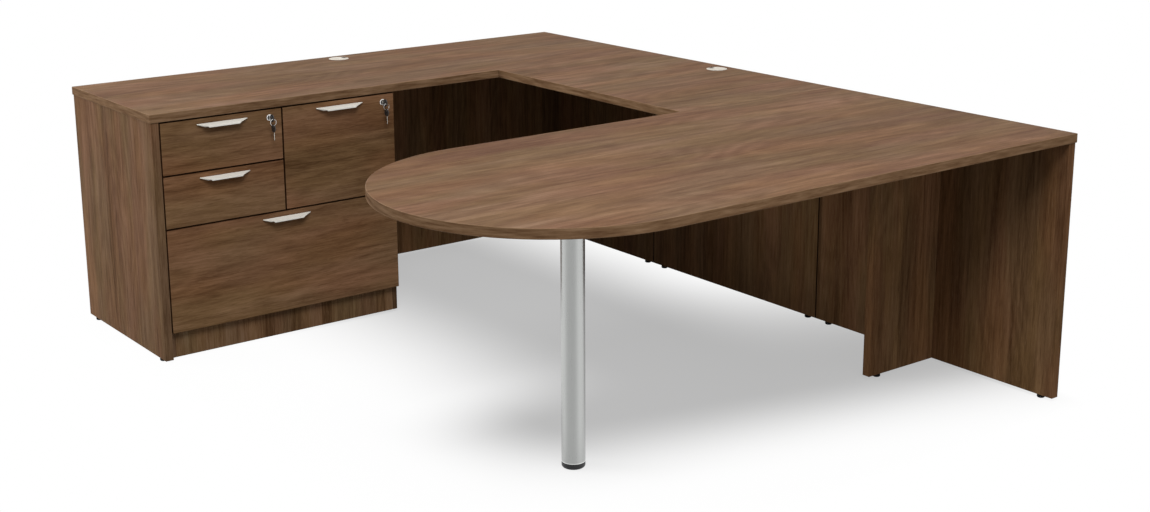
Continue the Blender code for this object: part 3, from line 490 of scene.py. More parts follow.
def bordered(finish, colour, place, border):
    """A drawer front's colour with its edge bands darkened by painted shade and a fine painted shadow line
    round its face.
    """
    look = bpy.context.scene.desk_walnut
    low, high = border
    forward = finish.facing(Y)
    colour = finish.mix(1.0 - finish.mask(forward, "front_face"), colour,
                        finish.shaded(colour, look.front_edge_painted_shade))
    line = 0.0
    for axis in (X, Z):
        middle, half = (low[axis] + high[axis]) / 2, (high[axis] - low[axis]) / 2
        line = finish.between(abs(place[axis] - middle), half - look.border_width,
                              half - look.border_width * LINE_CORE) + line
    line = finish.between(line, 0.0, 1.0, False) * finish.mask(forward, "front_line")
    return finish.mix(line, colour, finish.shaded(colour, look.gap_painted_shade))


def seamed(finish, colour, y, seams):
    """A panel's colour with a fine painted shadow line at each seam."""
    look = bpy.context.scene.desk_walnut
    for seam in seams:
        near = 1.0 - finish.between(abs(y - seam), look.seam_width * LINE_CORE, look.seam_width)
        colour = finish.mix(near, colour, finish.shaded(colour, look.gap_painted_shade))
    return colour


def walnut(name, dark, middle, light, grain, seed, contrast=1.0, sway=0.018, staves=0.0, figure=0.05,
           edge_band=False, glides=False, border=None, seams=(), tint_and_painted_shade=PLAIN, matt=0.0):
    """Printed walnut: bands, flame figure, veins, streaks, strands and pores that follow the grain."""
    look = bpy.context.scene.desk_walnut
    finish = Finish(name)
    x, y, z = finish.place()
    along, across, depth = round_the_box(finish, x, y, z) if grain == "box" else GRAINS[grain](x, y, z)
    along, across = along + seed * SEED_ALONG, across + seed * SEED_ACROSS
    flat = finish.vector(along, across, depth)
    bent = finish.vector(along, across + finish.waver(flat, "wander") * sway, depth)
    bands, streaks, strands, fibres = (finish.waver(bent, layer)
                                       for layer in ("bands", "streaks", "strands", "fibres"))
    flame = (finish.layer(bent, "flames") * FLAME_TURNS).sine()
    flecks = finish.layer(bent, "flecks")
    pores = finish.mask(flecks, "pores")
    glints = 1.0 - finish.mask(flecks, "glints")
    veins = 1.0 - finish.mask(abs(finish.waver(bent, "veins")), "veins")
    ripple = (bands * look.band_strength + flame * figure + streaks * look.streak_strength
              + strands * look.strand_strength + fibres * look.fibre_strength - veins * look.vein_strength)
    tone = MIDDLE_TONE + ripple * contrast
    if staves:
        cells = finish.node("ShaderNodeTexVoronoi", {"voronoi_dimensions": "1D"},
                            {"W": across / look.stave_width, "Scale": 1.0}, "Color")
        tone = tone + (cells - NOISE_MEAN) * staves
    between = [(first + second) / 2 for first, second in zip(dark, middle)]
    colour = finish.ramp(tone, TONE_STOPS, (dark, between, middle, light))
    # Each cast is multiplied by the tint, which for the panels under the worktops is a painted shade.
    for layer, first, second in CASTS:
        share = finish.mask(finish.layer(bent, layer), "cast")
        shades = [[part * cast for part, cast in zip(side, tint_and_painted_shade)] for side in (first, second)]
        colour = finish.shaded(colour, finish.mix(share, *shades))
    colour = finish.mix(pores * look.pore_strength, colour, dark)
    colour = finish.mix(glints * look.glint_strength, colour, light)
    if edge_band:
        colour = edge_banded(finish, colour, finish.vector(x, y, z), (dark, middle, light))
    if border:
        colour = bordered(finish, colour, (x, y, z), border)
    colour = seamed(finish, colour, y, seams)
    if glides:
        foot = 1.0 - finish.mask(z, "above_glide")
        colour = finish.mix(foot, colour, bpy.context.scene.desk_metal.plastic)
    roughness = look.roughness + matt + strands * STRAND_SHEEN + finish.waver(flat, "sheen") * CLOUD_SHEEN
    height = (strands + fibres) / 2 - pores
    return finish.set(Base_Color=colour, Roughness=roughness, Specular_IOR_Level=look.reflection,
                      Normal=finish.bump(height, look.pore_depth, PORE_BUMP))


# Brushed metal: its marks, the scratches that dull it and a painted highlight on a tube's cut rim.
MARK_SHARE = 0.6
MARK_DEPTH = 0.00004
MARK_GRIT = 2.0
GRIT_BUMP = 10.0
SCRATCH_DULL = 0.1
RIM_HIGHLIGHT_GAIN = 1.7
RIM_BLUR = 0.0008


def brushed_metal(name, colour, roughness, brush, metallic=1.0, grit=0.05, wear=0.14, rim_highlight=None):
    """Metal with fine brush marks, a little cloudiness, small scratches and, on a tube, a painted highlight
    on its cut rim.
    """
    finish = Finish(name)
    place = finish.place()
    point = finish.vector(*place)
    marks = finish.waver(point, brush)
    cloud = finish.waver(point, "metal_cloud")
    scratch = finish.mask(finish.layer(point, "scratches"), "scratches")
    shade = finish.between(cloud + marks * MARK_SHARE, -NOISE_MEAN, NOISE_MEAN, False)
    shown = finish.mix(shade, scaled(colour, 1.0 - wear), colour)
    if rim_highlight:
        # Painted highlight along the tube's cut rim.
        rim_painted_highlight = 1.0 - finish.between(place[Z], rim_highlight, rim_highlight + RIM_BLUR)
        shown = finish.mix(rim_painted_highlight, shown, scaled(colour, RIM_HIGHLIGHT_GAIN))
    return finish.set(
        Base_Color=shown, Metallic=metallic,
        Roughness=roughness + marks * grit * MARK_GRIT + cloud * grit + scratch * SCRATCH_DULL,
        Normal=finish.bump(marks * MARK_SHARE - scratch, MARK_DEPTH, grit * GRIT_BUMP))


def plated_steel(name, colour, roughness=0.30, spangles=260.0, spangle_share=0.7, spangle_matt=0.16,
                 cloud_matt=0.1, dullness=0.72, depth=0.00003, bump=0.4):
    """Zinc plate with its spangle."""
    finish = Finish(name)
    point = finish.vector(*finish.place())
    cells = finish.node("ShaderNodeTexVoronoi", None, {"Vector": point, "Scale": spangles}, "Color")
    cloud = finish.waver(point, "zinc_cloud")
    shade = finish.between(cells * spangle_share + cloud, 0.0, 1.0, False)
    return finish.set(Base_Color=finish.mix(shade, scaled(colour, dullness), colour), Metallic=1.0,
                      Roughness=roughness + cells * spangle_matt + cloud * cloud_matt,
                      Normal=finish.bump(cells + cloud, depth, bump))


def moulded_plastic(name, colour, roughness, metallic=0.0, recess=0.0, rubbed=0.6, paler=1.25, lift=0.006,
                    recess_painted_shade=0.08, texture_matt=0.12, rub_polish=0.07, depth=0.00006, bump=0.6):
    """Plastic with a fine moulded texture, light rubbing and, where asked, painted shade on its upright
    walls.
    """
    finish = Finish(name)
    point = finish.vector(*finish.place())
    texture = finish.waver(point, "moulding")
    rub = finish.mask(finish.layer(point, "rubbing"), "rubbing")
    shown = finish.mix(rub * rubbed, colour, scaled(colour, paler, lift))
    # Painted shade on the upright walls of a recess.
    if recess:
        wall = (1.0 - finish.mask(finish.facing(Z), "level_plastic")) * recess
        shown = finish.mix(wall, shown, scaled(colour, recess_painted_shade))
    return finish.set(Base_Color=shown, Metallic=metallic,
                      Roughness=roughness + texture * texture_matt - rub * rub_polish,
                      Normal=finish.bump(texture, depth, bump))


def key_finish(name, axis, shoulder, side, blur=0.0001, roughness=0.42, blade_polish=0.16,
               texture_matt=0.14, depth=0.00005, bump=0.5):
    """A key: nickel blade and black moulded bow, divided at the shoulder."""
    metal = bpy.context.scene.desk_metal
    finish = Finish(name)
    place = finish.place()
    blade = finish.between(place[axis] * side, shoulder * side - blur, shoulder * side + blur)
    texture = finish.waver(finish.vector(*place), "key_grain")
    worn = finish.mask(texture, "key_grain")
    nickel = finish.mix(worn, metal.nickel, metal.worn_nickel)
    black = finish.mix(worn, metal.plastic, metal.rubbed_bow)
    return finish.set(Base_Color=finish.mix(blade, black, nickel), Metallic=blade,
                      Roughness=roughness - blade * blade_polish + texture * texture_matt,
                      Normal=finish.bump(texture, depth, bump))


def corners(node):
    """A CAD node's lowest and highest corners at rest."""
    return [Vector(corner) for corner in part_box(node)]


def dress(node, material):
    """Give a CAD node its finish."""
    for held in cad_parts[node].material_slots:
        held.material = material


def smooth(mesh):
    """Smooth shading that keeps the sharp edges."""
    mesh.shade_smooth()
    mesh.set_sharp_from_angle(angle=SHARP)


def piece(name, bm, material, body):
    """Turn a bmesh into a finished piece that rides on a body."""
    bmesh.ops.recalc_face_normals(bm, faces=bm.faces)
    mesh = bpy.data.meshes.new(name)
    bm.to_mesh(mesh)
    bm.free()
    mesh.materials.append(material)
    smooth(mesh)
    obj = bpy.data.objects.new(name, mesh)
    bpy.context.scene.collection.objects.link(obj)
    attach(obj, body)
    return obj


def turned(bm, profile, steps, place=Matrix()):
    """Turn a profile of (radius, height) about the place's own Z."""
    rings = []
    for radius, height in profile:
        if radius == 0:
            rings.append([bm.verts.new(place @ Vector((0, 0, height)))])
            continue
        ring = []
        for step in range(steps):
            angle = 2 * math.pi * step / steps
            spot = Vector((radius * math.cos(angle), radius * math.sin(angle), height))
            ring.append(bm.verts.new(place @ spot))
        rings.append(ring)
    for above, below in zip(rings, rings[1:]):
        for step in range(steps):
            after = (step + 1) % steps
            around = [above[step % len(above)], above[after % len(above)],
                      below[after % len(below)], below[step % len(below)]]
            distinct = list(dict.fromkeys(around))
            if len(distinct) > 2:
                bm.faces.new(distinct)
    return rings


# A pan head's outline by radius and height, and its cross recess as shares of the same.
SCREW_STEPS = 24
DOME_SHARES = ((0, 1), (0.30, 0.98), (0.62, 0.86), (0.88, 0.60), (1, 0.22), (1, 0), (0, 0))
CROSS_REACH_SHARE = 0.58
CROSS_HALF_WIDTH_SHARE = 0.11
CROSS_DEPTH_SHARE = 0.55
CROSS_OVERRUN = 0.0004


def pan_screw(bm, place, radius, height):
    """Add a pan head on the place's own Z, and give the cross recess that is cut from it."""
    dome = [(radius * across, height * up) for across, up in DOME_SHARES]
    turned(bm, dome, SCREW_STEPS, place)
    reach, half_width = radius * CROSS_REACH_SHARE, radius * CROSS_HALF_WIDTH_SHARE
    sink = height * CROSS_DEPTH_SHARE
    recess = bmesh.new()
    for turn in (0, math.pi / 2):
        bmesh.ops.create_cube(recess, size=1, matrix=place @ Matrix.Rotation(turn, 4, "Z")
                              @ Matrix.Translation((0, 0, height - sink / 2 + CROSS_OVERRUN))
                              @ Matrix.Diagonal((2 * reach, 2 * half_width, sink, 1)))
    return recess


def cut(obj, tool_bm):
    """Cut an object's mesh by a tool and keep the result."""
    mesh = bpy.data.meshes.new(obj.name + "_tool")
    tool_bm.to_mesh(mesh)
    tool_bm.free()
    tool = bpy.data.objects.new(obj.name + "_tool", mesh)
    bpy.context.scene.collection.objects.link(tool)
    boolean = obj.modifiers.new("recess", "BOOLEAN")
    boolean.operation = "DIFFERENCE"
    boolean.use_self = True
    boolean.object = tool
    bpy.context.view_layer.update()
    made = bpy.data.meshes.new_from_object(obj.evaluated_get(bpy.context.evaluated_depsgraph_get()))
    obj.modifiers.remove(boolean)
    obj.data = made
    smooth(made)
    bpy.data.objects.remove(tool)


def screws(name, places, body, material):
    """Make a group of like screws as one piece."""
    fitting = bpy.context.scene.desk_fitting
    bm, tool = bmesh.new(), bmesh.new()
    for place in places:
        recess = pan_screw(bm, place, fitting.screw_radius, fitting.screw_height)
        mesh = bpy.data.meshes.new("recess")
        recess.to_mesh(mesh)
        recess.free()
        tool.from_mesh(mesh)
        bpy.data.meshes.remove(mesh)
    cut(piece(name, bm, material, body), tool)


class DESK_OT_worktops(bpy.types.Operator):
    """Lay the walnut laminate on the three worktops"""

    bl_idname = "desk.worktops"
    bl_label = "Worktops"

    def execute(self, context):
        look = context.scene.desk_walnut
        for seed, node in enumerate(("credenza_top", "bridge_top", "peninsula_top")):
            dress(node, walnut(node + "_walnut", look.top_dark, look.top_middle, look.top_light,
                               "worktop", seed, contrast=1.15, edge_band=True))
        return {"FINISHED"}


class DESK_OT_panels(bpy.types.Operator):
    """Lay upright walnut laminate on the gables, backs and plinth"""

    bl_idname = "desk.panels"
    bl_label = "Upright panels"

    def execute(self, context):
        look = context.scene.desk_walnut
        panels = ("credenza_left_gable", "credenza_right_gable", "credenza_back_panel", "bridge_back_panel",
                  "peninsula_gable", "peninsula_tee_panel")
        bridge_low, bridge_high = corners("bridge_back_panel")
        for seed, node in enumerate(panels):
            # Every panel but the outer left gable gets painted seam shadows and the painted shade under the
            # worktops.
            outer = node == "credenza_left_gable"
            dress(node, walnut(node + "_walnut", look.panel_dark, look.panel_middle, look.panel_light,
                               "upright", seed, contrast=0.95, sway=0.008, staves=0.30, glides=True,
                               seams=() if outer else (bridge_low.y, bridge_high.y),
                               tint_and_painted_shade=PLAIN if outer else look.under_top_painted_shade))
        dress("pedestal_plinth", walnut("plinth_walnut", look.front_dark, look.front_middle, look.panel_light,
                                        "upright", seed=len(panels), sway=0.006, staves=0.45,
                                        tint_and_painted_shade=look.plinth_shade))
        return {"FINISHED"}


class DESK_OT_pedestal(bpy.types.Operator):
    """Lay matt laminate on the pedestal's carcass"""

    bl_idname = "desk.pedestal"
    bl_label = "Pedestal carcass"

    def execute(self, context):
        look = context.scene.desk_walnut
        shades = (look.inside_dark, look.inside_middle, look.inside_light)
        upright = walnut("carcass_side_walnut", *shades, "upright", seed=9, staves=0.15, glides=True,
                         matt=0.08)
        level = walnut("carcass_shelf_walnut", *shades, "worktop", seed=10, matt=0.08)
        for node in ("pedestal_left_side", "pedestal_right_side", "pedestal_partition"):
            dress(node, upright)
        for node in ("pedestal_bottom", "pedestal_shelf", "pedestal_top_panel"):
            dress(node, level)
        return {"FINISHED"}


DRAWERS = ("upper_box_drawer", "lower_box_drawer", "file_drawer", "lateral_drawer")
LOCKED = ("upper_box_drawer", "file_drawer")
HUNG_WITH_FILES = ("file_drawer", "lateral_drawer")

# A drawer box's boards, and how far its front screws stand in, as shares of its width and height.
BOX_BOARD = 0.012
FRONT_SCREW_SHARES = (0.14, 0.27)
FIRST_FRONT_SEED = 3


class DESK_OT_drawers(bpy.types.Operator):
    """Lay walnut on the drawer fronts and boxes and screw the fronts on"""

    bl_idname = "desk.drawers"
    bl_label = "Drawer fronts and boxes"

    def execute(self, context):
        look = context.scene.desk_walnut
        zinc = plated_steel("screw_zinc", context.scene.desk_metal.zinc)
        shades = (look.inside_dark, look.inside_middle, look.inside_light)
        boxes = walnut("drawer_box_walnut", *shades, "box", seed=14, sway=0.008, matt=0.10)
        for seed, drawer in enumerate(DRAWERS, start=FIRST_FRONT_SEED):
            dress(drawer + "_front", walnut(drawer + "_front_walnut", look.front_dark, look.front_middle,
                                            look.front_light, "front", seed, contrast=0.88, sway=0.012,
                                            figure=0.06, border=corners(drawer + "_front")))
            dress(drawer + "_box", boxes)
            self.front_screws(drawer, zinc)
        return {"FINISHED"}

    def front_screws(self, drawer, zinc):
        """Four screws through the box's front wall into the drawer front."""
        low, high = corners(drawer + "_box")
        across_share, up_share = FRONT_SCREW_SHARES
        inset_x, inset_z = (high.x - low.x) * across_share, (high.z - low.z) * up_share
        forward = Matrix.Rotation(-math.pi / 2, 4, "X")
        places = [Matrix.Translation((x, low.y + BOX_BOARD, z)) @ forward
                  for x in (low.x + inset_x, high.x - inset_x) for z in (low.z + inset_z, high.z - inset_z)]
        screws(drawer + "_front_screws", places, drawer, zinc)


class DESK_OT_runners(bpy.types.Operator):
    """Plate the drawer runners with zinc"""

    bl_idname = "desk.runners"
    bl_label = "Drawer runners"

    def execute(self, context):
        zinc = plated_steel("runner_zinc", context.scene.desk_metal.zinc)
        for drawer in DRAWERS:
            for side in ("left", "right"):
                for member in ("cabinet", "drawer"):
                    dress(f"{drawer}_{side}_{member}_runner", zinc)
        return {"FINISHED"}


class DESK_OT_pulls(bpy.types.Operator):
    """Fold the pulls from satin silver sheet"""

    bl_idname = "desk.pulls"
    bl_label = "Drawer pulls"

    def execute(self, context):
        fitting = context.scene.desk_fitting
        silver = brushed_metal("pull_silver", context.scene.desk_metal.pull, roughness=0.38,
                               brush="pull_brush", metallic=0.10, grit=0.07, wear=0.07)
        for drawer in DRAWERS:
            pull = self.folded(drawer, silver, fitting)
            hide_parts(drawer + "_pull")
        return {"FINISHED"}

    def folded(self, drawer, silver, fitting):
        """A flange on the front, a sloping plate with slanted ends and a lip whose ends slant in as well."""
        low, high = corners(drawer + "_pull")
        middle, half = (low.x + high.x) / 2, (high.x - low.x) / 2
        sheet = fitting.pull_sheet
        back, front = high.y - sheet, low.y + sheet
        crest = high.z - sheet
        drop = crest - fitting.pull_slope
        lip = fitting.pull_lip
        front_half = half * fitting.pull_front_share
        rows = ((half * fitting.pull_flange_share, back, low.z + sheet / 2), (half - sheet, back, crest),
                (front_half, front, drop), (front_half - lip, front, drop - lip))
        bm = bmesh.new()
        ends = [[bm.verts.new((middle + side * reach, y, z)) for side in (-1, 1)] for reach, y, z in rows]
        faces = [bm.faces.new((*above, *reversed(below))) for above, below in zip(ends, ends[1:])]
        bmesh.ops.recalc_face_normals(bm, faces=faces)
        bmesh.ops.solidify(bm, geom=faces, thickness=sheet)
        bmesh.ops.bevel(bm, geom=list(bm.edges), offset=sheet / 4, segments=2, affect="EDGES")
        return piece(drawer + "_folded_pull", bm, silver, drawer)


class DESK_OT_locks(bpy.types.Operator):
    """Finish the cylinder locks, their keys and rings"""

    bl_idname = "desk.locks"
    bl_label = "Locks and keys"

    def execute(self, context):
        metal = context.scene.desk_metal
        chrome = brushed_metal("lock_chrome", metal.chrome, roughness=0.10, brush="lock_brush", grit=0.03)
        ring = brushed_metal("ring_chrome", metal.chrome, roughness=0.14, brush="ring_brush", grit=0.03)
        key_low, key_high = corners("file_drawer_key")
        spare_top = corners("file_drawer_spare_key")[1].z
        bow = key_high.z - key_low.z
        in_lock = key_finish("lock_key", axis=Y, shoulder=key_low.y + bow, side=1)
        hanging = key_finish("spare_key", axis=Z, shoulder=spare_top - bow, side=-1)
        for drawer in LOCKED:
            dress(drawer + "_lock_barrel", chrome)
            dress(drawer + "_lock_core", chrome)
            dress(drawer + "_key_ring", ring)
            dress(drawer + "_key", in_lock)
            dress(drawer + "_spare_key", hanging)
        return {"FINISHED"}


class DESK_OT_leg(bpy.types.Operator):
    """Turn the post leg finely and finish its foot"""

    bl_idname = "desk.leg"
    bl_label = "Post leg"

    def execute(self, context):
        metal, fitting = context.scene.desk_metal, context.scene.desk_fitting
        low, high = corners("post_leg")
        silver = brushed_metal("leg_silver", metal.leg, roughness=0.28, brush="leg_brush", grit=0.02,
                               wear=0.05, rim_highlight=low.z + fitting.leg_rim_highlight)
        centre = (low + high) / 2
        bm = bmesh.new()
        turned(bm, self.outline(low, high, fitting), fitting.leg_steps,
               Matrix.Translation((centre.x, centre.y, 0)))
        leg = piece("satin_post_leg", bm, silver, "desk")
        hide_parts("post_leg")
        dress("leg_foot", moulded_plastic("foot_plastic", metal.plastic, roughness=0.42))
        self.plate_screws(centre, high.z - fitting.leg_plate, metal, fitting)
        return {"FINISHED"}

    def outline(self, low, high, fitting):
        """Half the leg's section: plate, round weld bead, tube and the open bore."""
        foot_low, foot_high = corners("leg_foot")
        plate, tube = (high.x - low.x) / 2, (foot_high.x - foot_low.x) / 2
        weld, ease, bore = fitting.leg_weld, fitting.leg_ease, tube - fitting.leg_wall
        under = high.z - fitting.leg_plate
        angles = [math.pi / 2 * step / fitting.weld_steps for step in range(fitting.weld_steps + 1)]
        bead = [(tube + weld * (1 - math.sin(angle)), under - weld * (1 - math.cos(angle)))
                for angle in angles]
        return [(0, high.z), (plate - ease, high.z), (plate, high.z - ease), (plate, under + ease),
                (plate - ease, under), *bead, (tube, low.z + ease), (tube - ease, low.z),
                (bore, low.z), (bore, under), (0, under)]

    def plate_screws(self, centre, under, metal, fitting):
        """Four screws up through the round plate into the worktop."""
        circle = fitting.leg_screw_circle
        places = []
        for step in range(4):
            angle = math.pi / 4 + math.pi / 2 * step
            spot = (centre.x + circle * math.cos(angle), centre.y + circle * math.sin(angle), under)
            places.append(Matrix.Translation(spot) @ Matrix.Rotation(math.pi, 4, "X"))
        screws("leg_plate_screws", places, "desk", plated_steel("leg_screw_zinc", metal.zinc))


class DESK_OT_grommets(bpy.types.Operator):
    """Finish the cable grommets"""

    bl_idname = "desk.grommets"
    bl_label = "Cable grommets"

    def execute(self, context):
        # The grommets take painted shade on their upright walls.
        silver = moulded_plastic("grommet_silver_plastic", context.scene.desk_metal.grommet,
                                 roughness=0.42, metallic=0.05, recess=0.9)
        for place in ("credenza", "bridge"):
            dress(place + "_grommet_liner", silver)
            dress(place + "_grommet_cap", silver)
        return {"FINISHED"}


class DESK_OT_file_rails(bpy.types.Operator):
    """Clip the hanging file rails on the drawer sides"""

    bl_idname = "desk.file_rails"
    bl_label = "File rails"

    def execute(self, context):
        metal, fitting = context.scene.desk_metal, context.scene.desk_fitting
        plastic = moulded_plastic("rail_plastic", metal.plastic, roughness=0.5)
        for drawer in HUNG_WITH_FILES:
            low, high = corners(drawer + "_box")
            for side, x, inward in (("left", low.x, 1), ("right", high.x, -1)):
                self.rail(f"{drawer}_{side}_file_rail", drawer, x, inward, low, high, plastic, fitting)
        return {"FINISHED"}

    def rail(self, name, body, x, inward, low, high, plastic, fitting):
        """A clip section with an upstanding fin, run along one drawer side."""
        wall, grip, gap = fitting.rail_wall, fitting.rail_grip, fitting.rail_gap
        far = BOX_BOARD + gap
        fin = BOX_BOARD / 2
        top = high.z + gap
        section = [(-wall - gap, -grip), (-gap, -grip), (-gap, 0), (far, 0), (far, -grip),
                   (far + wall, -grip), (far + wall, wall), (fin + wall, wall),
                   (fin + wall, fitting.rail_height), (fin - wall / 2, fitting.rail_height),
                   (fin - wall / 2, wall), (-wall - gap, wall)]
        start, end = low.y + far, high.y - far
        bm = bmesh.new()
        first = [bm.verts.new((x + inward * across, start, top + up)) for across, up in section]
        face = bm.faces.new(first)
        run = bmesh.ops.extrude_face_region(bm, geom=[face])
        moved = [item for item in run["geom"] if isinstance(item, bmesh.types.BMVert)]
        bmesh.ops.translate(bm, vec=(0, end - start, 0), verts=moved)
        bmesh.ops.bevel(bm, geom=list(bm.edges), offset=fitting.rail_ease, segments=1, affect="EDGES")
        piece(name, bm, plastic, body)


# The joining plates of one seam, and their screws' places as shares of half a plate's length.
PLATES_A_SEAM = 3
PLATE_SCREW_SHARES = (-0.78, -0.30, 0.30, 0.78)
PLATE_CORNER_STEPS = 5


class DESK_OT_joining_plates(bpy.types.Operator):
    """Screw flat plates under the seams between the worktops"""

    bl_idname = "desk.joining_plates"
    bl_label = "Joining plates"

    def execute(self, context):
        zinc = plated_steel("plate_zinc", context.scene.desk_metal.zinc)
        low, high = corners("bridge_top")
        for seam, y in (("credenza", high.y), ("peninsula", low.y)):
            self.seam_plates(seam, y, low, zinc, context.scene.desk_fitting)
        return {"FINISHED"}

    def seam_plates(self, seam, y, low, zinc, fitting):
        """The plates of one seam as one piece, with four screws in each."""
        length, width, thickness = fitting.plate_length, fitting.plate_width, fitting.plate_thickness
        first_x, last_x = low.x + width, corners("bridge_back_panel")[0].x - width
        under = low.z - fitting.plate_gap
        places = []
        bm = bmesh.new()
        for step in range(PLATES_A_SEAM):
            x = first_x + (last_x - first_x) * step / (PLATES_A_SEAM - 1)
            bmesh.ops.create_cube(bm, size=1, matrix=Matrix.Translation((x, y, under - thickness / 2))
                                  @ Matrix.Diagonal((width, length, thickness, 1)))
            for share in PLATE_SCREW_SHARES:
                spot = (x, y + share * length / 2, under - thickness)
                places.append(Matrix.Translation(spot) @ Matrix.Rotation(math.pi, 4, "X"))
        upright = [edge for edge in bm.edges
                   if abs(edge.verts[0].co.z - edge.verts[1].co.z) > thickness / 2]
        bmesh.ops.bevel(bm, geom=upright, offset=fitting.plate_corner, segments=PLATE_CORNER_STEPS,
                        affect="EDGES")
        piece(seam + "_joining_plates", bm, zinc, "desk")
        screws(seam + "_plate_screws", places, "desk", zinc)


# Each lamp's place and the width of its square softbox.
LAMPS = {
    "key": ((-2.0, -3.7, 5.9), 2.6),
    "top": ((0.0, 1.9, 4.4), 2.0),
    "side": ((-4.2, 3.0, 2.4), 2.4),
    "front": ((0.3, -5.5, 1.0), 2.0),
    "right": ((4.9, 0.3, 1.0), 2.0),
}
LAMP_AIM = Vector((0, 0, 0.4))
SENSOR_WIDTH = 36

# The floor's sizes, and the side of the leg on which metal sees it darker, a painted reflection.
FLOOR_HALF = 24
FLOOR_STEPS = 24
FLOOR_GAP = 0.0005
FLOOR_GRAIN = 0.02
FLOOR_ROUGHNESS = 0.9
FLOOR_FRONT_SLANT = 0.24
FLOOR_RIGHT_BLUR = 0.08
FLAG_SIDE = (-0.79, -0.61, 0.0)


class DESK_OT_studio(bpy.types.Operator):
    """Set the floor, the lamps, the background and the camera"""

    bl_idname = "desk.studio"
    bl_label = "Studio"

    def execute(self, context):
        studio = context.scene.desk_studio
        self.floor(studio)
        self.background(context.scene, studio)
        for name, (place, width) in LAMPS.items():
            self.lamp(name + "_lamp", place, width, getattr(studio, name + "_power"))
        self.camera(context.scene, studio)
        context.scene.view_settings.view_transform = "Standard"
        return {"FINISHED"}

    def camera(self, scene, studio):
        """The camera that sees the desk as the photograph does."""
        data = bpy.data.cameras.new("desk_camera")
        data.lens = studio.lens
        data.sensor_width = SENSOR_WIDTH
        data.shift_x, data.shift_y = studio.shift
        camera = bpy.data.objects.new("desk_camera", data)
        camera.location = studio.camera_place
        camera.rotation_euler = studio.camera_turn
        scene.collection.objects.link(camera)
        scene.camera = camera

    def lamp(self, name, place, width, power):
        """A square softbox that looks at the desk's middle."""
        data = bpy.data.lights.new(name, "AREA")
        data.shape = "SQUARE"
        data.size = width
        data.energy = power
        obj = bpy.data.objects.new(name, data)
        obj.location = place
        obj.rotation_euler = (LAMP_AIM - Vector(place)).to_track_quat("-Z", "Y").to_euler()
        obj.visible_camera = False
        bpy.context.scene.collection.objects.link(obj)

    def floor(self, studio):
        """A pale floor that keeps the desk's real shadow, adds a painted shadow under the desk, and runs out
        to white.
        """
        bm = bmesh.new()
        bmesh.ops.create_grid(bm, x_segments=FLOOR_STEPS, y_segments=FLOOR_STEPS, size=FLOOR_HALF)
        mesh = bpy.data.meshes.new("studio_floor")
        bm.to_mesh(mesh)
        bm.free()
        obj = bpy.data.objects.new("studio_floor", mesh)
        obj.location.z = -FLOOR_GAP
        bpy.context.scene.collection.objects.link(obj)
        mesh.materials.append(self.floor_finish(studio))

    def floor_finish(self, studio):
        """A grey painted shadow under the desk and white around it to the eye, and a plain soft bounce to the
        desk.
        """
        finish = Finish("studio_floor")
        x, y, z = finish.place()
        shown = finish.shown()
        shade = self.under_desk(finish, x, y)
        seen_floor = finish.mix(shade, PLAIN, grey(studio.shadow_floor))
        finish.set(Base_Color=finish.mix(shown, grey(studio.floor_bounce), seen_floor),
                   Roughness=FLOOR_ROUGHNESS, Specular_IOR_Level=0.0)
        flag = self.leg_painted_reflection(finish, x, y) * finish.ray("Glossy") * studio.flag
        white = finish.node("ShaderNodeEmission", None, {"Color": (*studio.backdrop, 1)})
        flagged = finish.node("ShaderNodeMixShader", None, {0: flag, 1: white})
        opened = (1.0 - shade) * studio.open_floor
        far = self.beyond_desk(finish, x, y, z)
        lifted = finish.between(far + opened + studio.shadow_lift, 0.0, 1.0, False)
        near = Value(finish, finish.shader.outputs[0])
        mixed = finish.node("ShaderNodeMixShader", None, {0: lifted * shown, 1: near, 2: flagged})
        finish.tree.links.new(mixed.socket, finish.tree.nodes["Material Output"].inputs["Surface"])
        return finish.material

    def beyond_desk(self, finish, x, y, z):
        """0 within the desk's own rectangle, rising to 1 away from it."""
        past_x, past_y = (abs(x) - CAD_HIGH.x).most(0.0), (abs(y) - CAD_HIGH.y).most(0.0)
        beyond = finish.node("ShaderNodeVectorMath", {"operation": "LENGTH"},
                             {0: finish.vector(past_x, past_y, 0.0)}, "Value")
        grain = finish.layer(finish.vector(x, y, z), "floor_grain")
        return finish.mask(beyond + grain * FLOOR_GRAIN, "floor_far")

    def under_desk(self, finish, x, y):
        """The painted shadow: 1 on the floor under and between the tops, falling to 0 where it lies open to
        the light.
        """
        left = finish.mask(-x, "floor_left_behind")
        left = left + (finish.mask(-x, "floor_left_ahead") - left) * finish.mask(-y, "floor_ahead")
        front = finish.mask(-y - x * FLOOR_FRONT_SLANT, "floor_front")
        back = finish.mask(x, "floor_back_across") * finish.mask(y, "floor_back_along")
        right = finish.between(x, CAD_HIGH.x, CAD_HIGH.x + FLOOR_RIGHT_BLUR)
        return (1.0 - left) * (1.0 - front) * (1.0 - back) * (1.0 - right)

    def leg_painted_reflection(self, finish, x, y):
        """A painted reflection: 1 on the floor that the leg's near side mirrors, falling to 0 at its sides.
        """
        leg_low, leg_high = corners("post_leg")
        centre = (leg_low + leg_high) / 2
        away = finish.node("ShaderNodeVectorMath", {"operation": "NORMALIZE"},
                           {0: finish.vector(x - centre.x, y - centre.y, 0.0)})
        ahead = finish.node("ShaderNodeVectorMath", {"operation": "DOT_PRODUCT"},
                            {0: away, 1: FLAG_SIDE}, "Value")
        return finish.mask(ahead, "leg_painted_reflection")

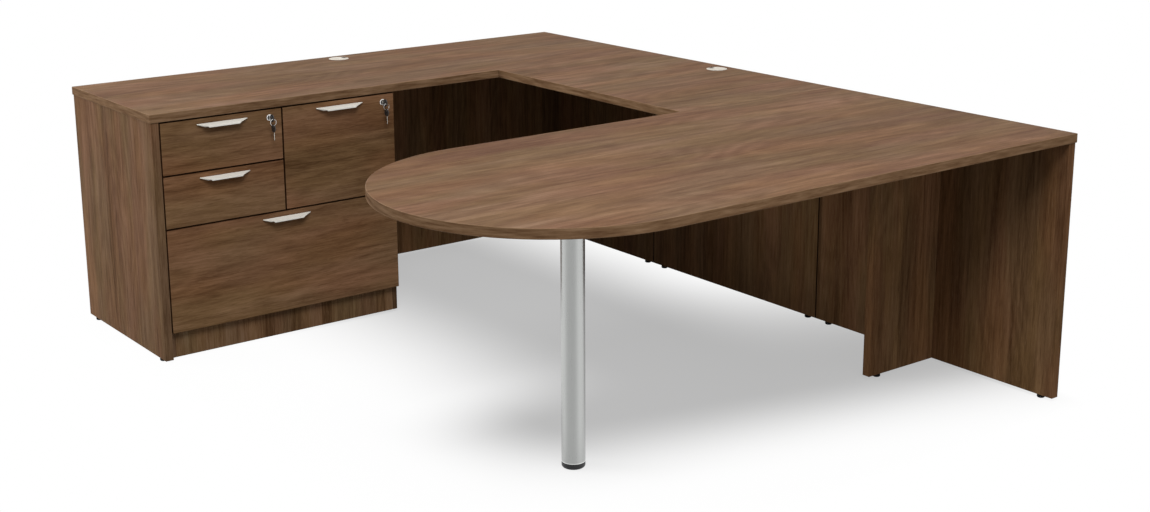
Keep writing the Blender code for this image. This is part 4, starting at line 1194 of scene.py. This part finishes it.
    def background(self, scene, studio):
        """White to the eye and in reflections, and plain soft light on the desk."""
        world = bpy.data.worlds.new("studio_world")
        world.use_nodes = True
        scene.world = world
        sky = Nodes(world.node_tree)
        level = sky.node("ShaderNodeMapRange", None,
                         {"Value": sky.shown(), "To Min": studio.ambient, "To Max": 1.0})
        shade = sky.tree.nodes["Background"]
        sky.tree.links.new(level.socket, shade.inputs["Strength"])
        shade.inputs["Color"].default_value = (*studio.backdrop, 1)


OPERATORS = (DESK_OT_worktops, DESK_OT_panels, DESK_OT_pedestal, DESK_OT_drawers, DESK_OT_runners,
             DESK_OT_pulls, DESK_OT_locks, DESK_OT_leg, DESK_OT_grommets, DESK_OT_file_rails,
             DESK_OT_joining_plates, DESK_OT_studio)


class DESK_PT_sidebar(bpy.types.Panel):
    """The desk's settings and operators"""

    bl_label = "U-Shaped Desk"
    bl_idname = "DESK_PT_sidebar"
    bl_space_type = "VIEW_3D"
    bl_region_type = "UI"
    bl_category = "Desk"

    def draw(self, context):
        for group in (context.scene.desk_walnut, context.scene.desk_metal, context.scene.desk_fitting,
                      context.scene.desk_studio):
            box = self.layout.box()
            for name in group.__annotations__:
                box.prop(group, name)
        for operator in OPERATORS:
            self.layout.operator(operator.bl_idname)


CLASSES = (DeskWalnutSettings, DeskMetalSettings, DeskFittingSettings, DeskStudioSettings, *OPERATORS,
           DESK_PT_sidebar)


def register():
    """Register the classes and give the scene its settings."""
    for made in CLASSES:
        bpy.utils.register_class(made)
    bpy.types.Scene.desk_walnut = PointerProperty(type=DeskWalnutSettings)
    bpy.types.Scene.desk_metal = PointerProperty(type=DeskMetalSettings)
    bpy.types.Scene.desk_fitting = PointerProperty(type=DeskFittingSettings)
    bpy.types.Scene.desk_studio = PointerProperty(type=DeskStudioSettings)


def unregister():
    """Undo what register does."""
    del bpy.types.Scene.desk_studio
    del bpy.types.Scene.desk_fitting
    del bpy.types.Scene.desk_metal
    del bpy.types.Scene.desk_walnut
    for made in reversed(CLASSES):
        bpy.utils.unregister_class(made)


def main():
    """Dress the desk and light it."""
    register()
    for operator in OPERATORS:
        group, name = operator.bl_idname.split(".")
        getattr(getattr(bpy.ops, group), name)()


if __name__ == "__main__":
    main()
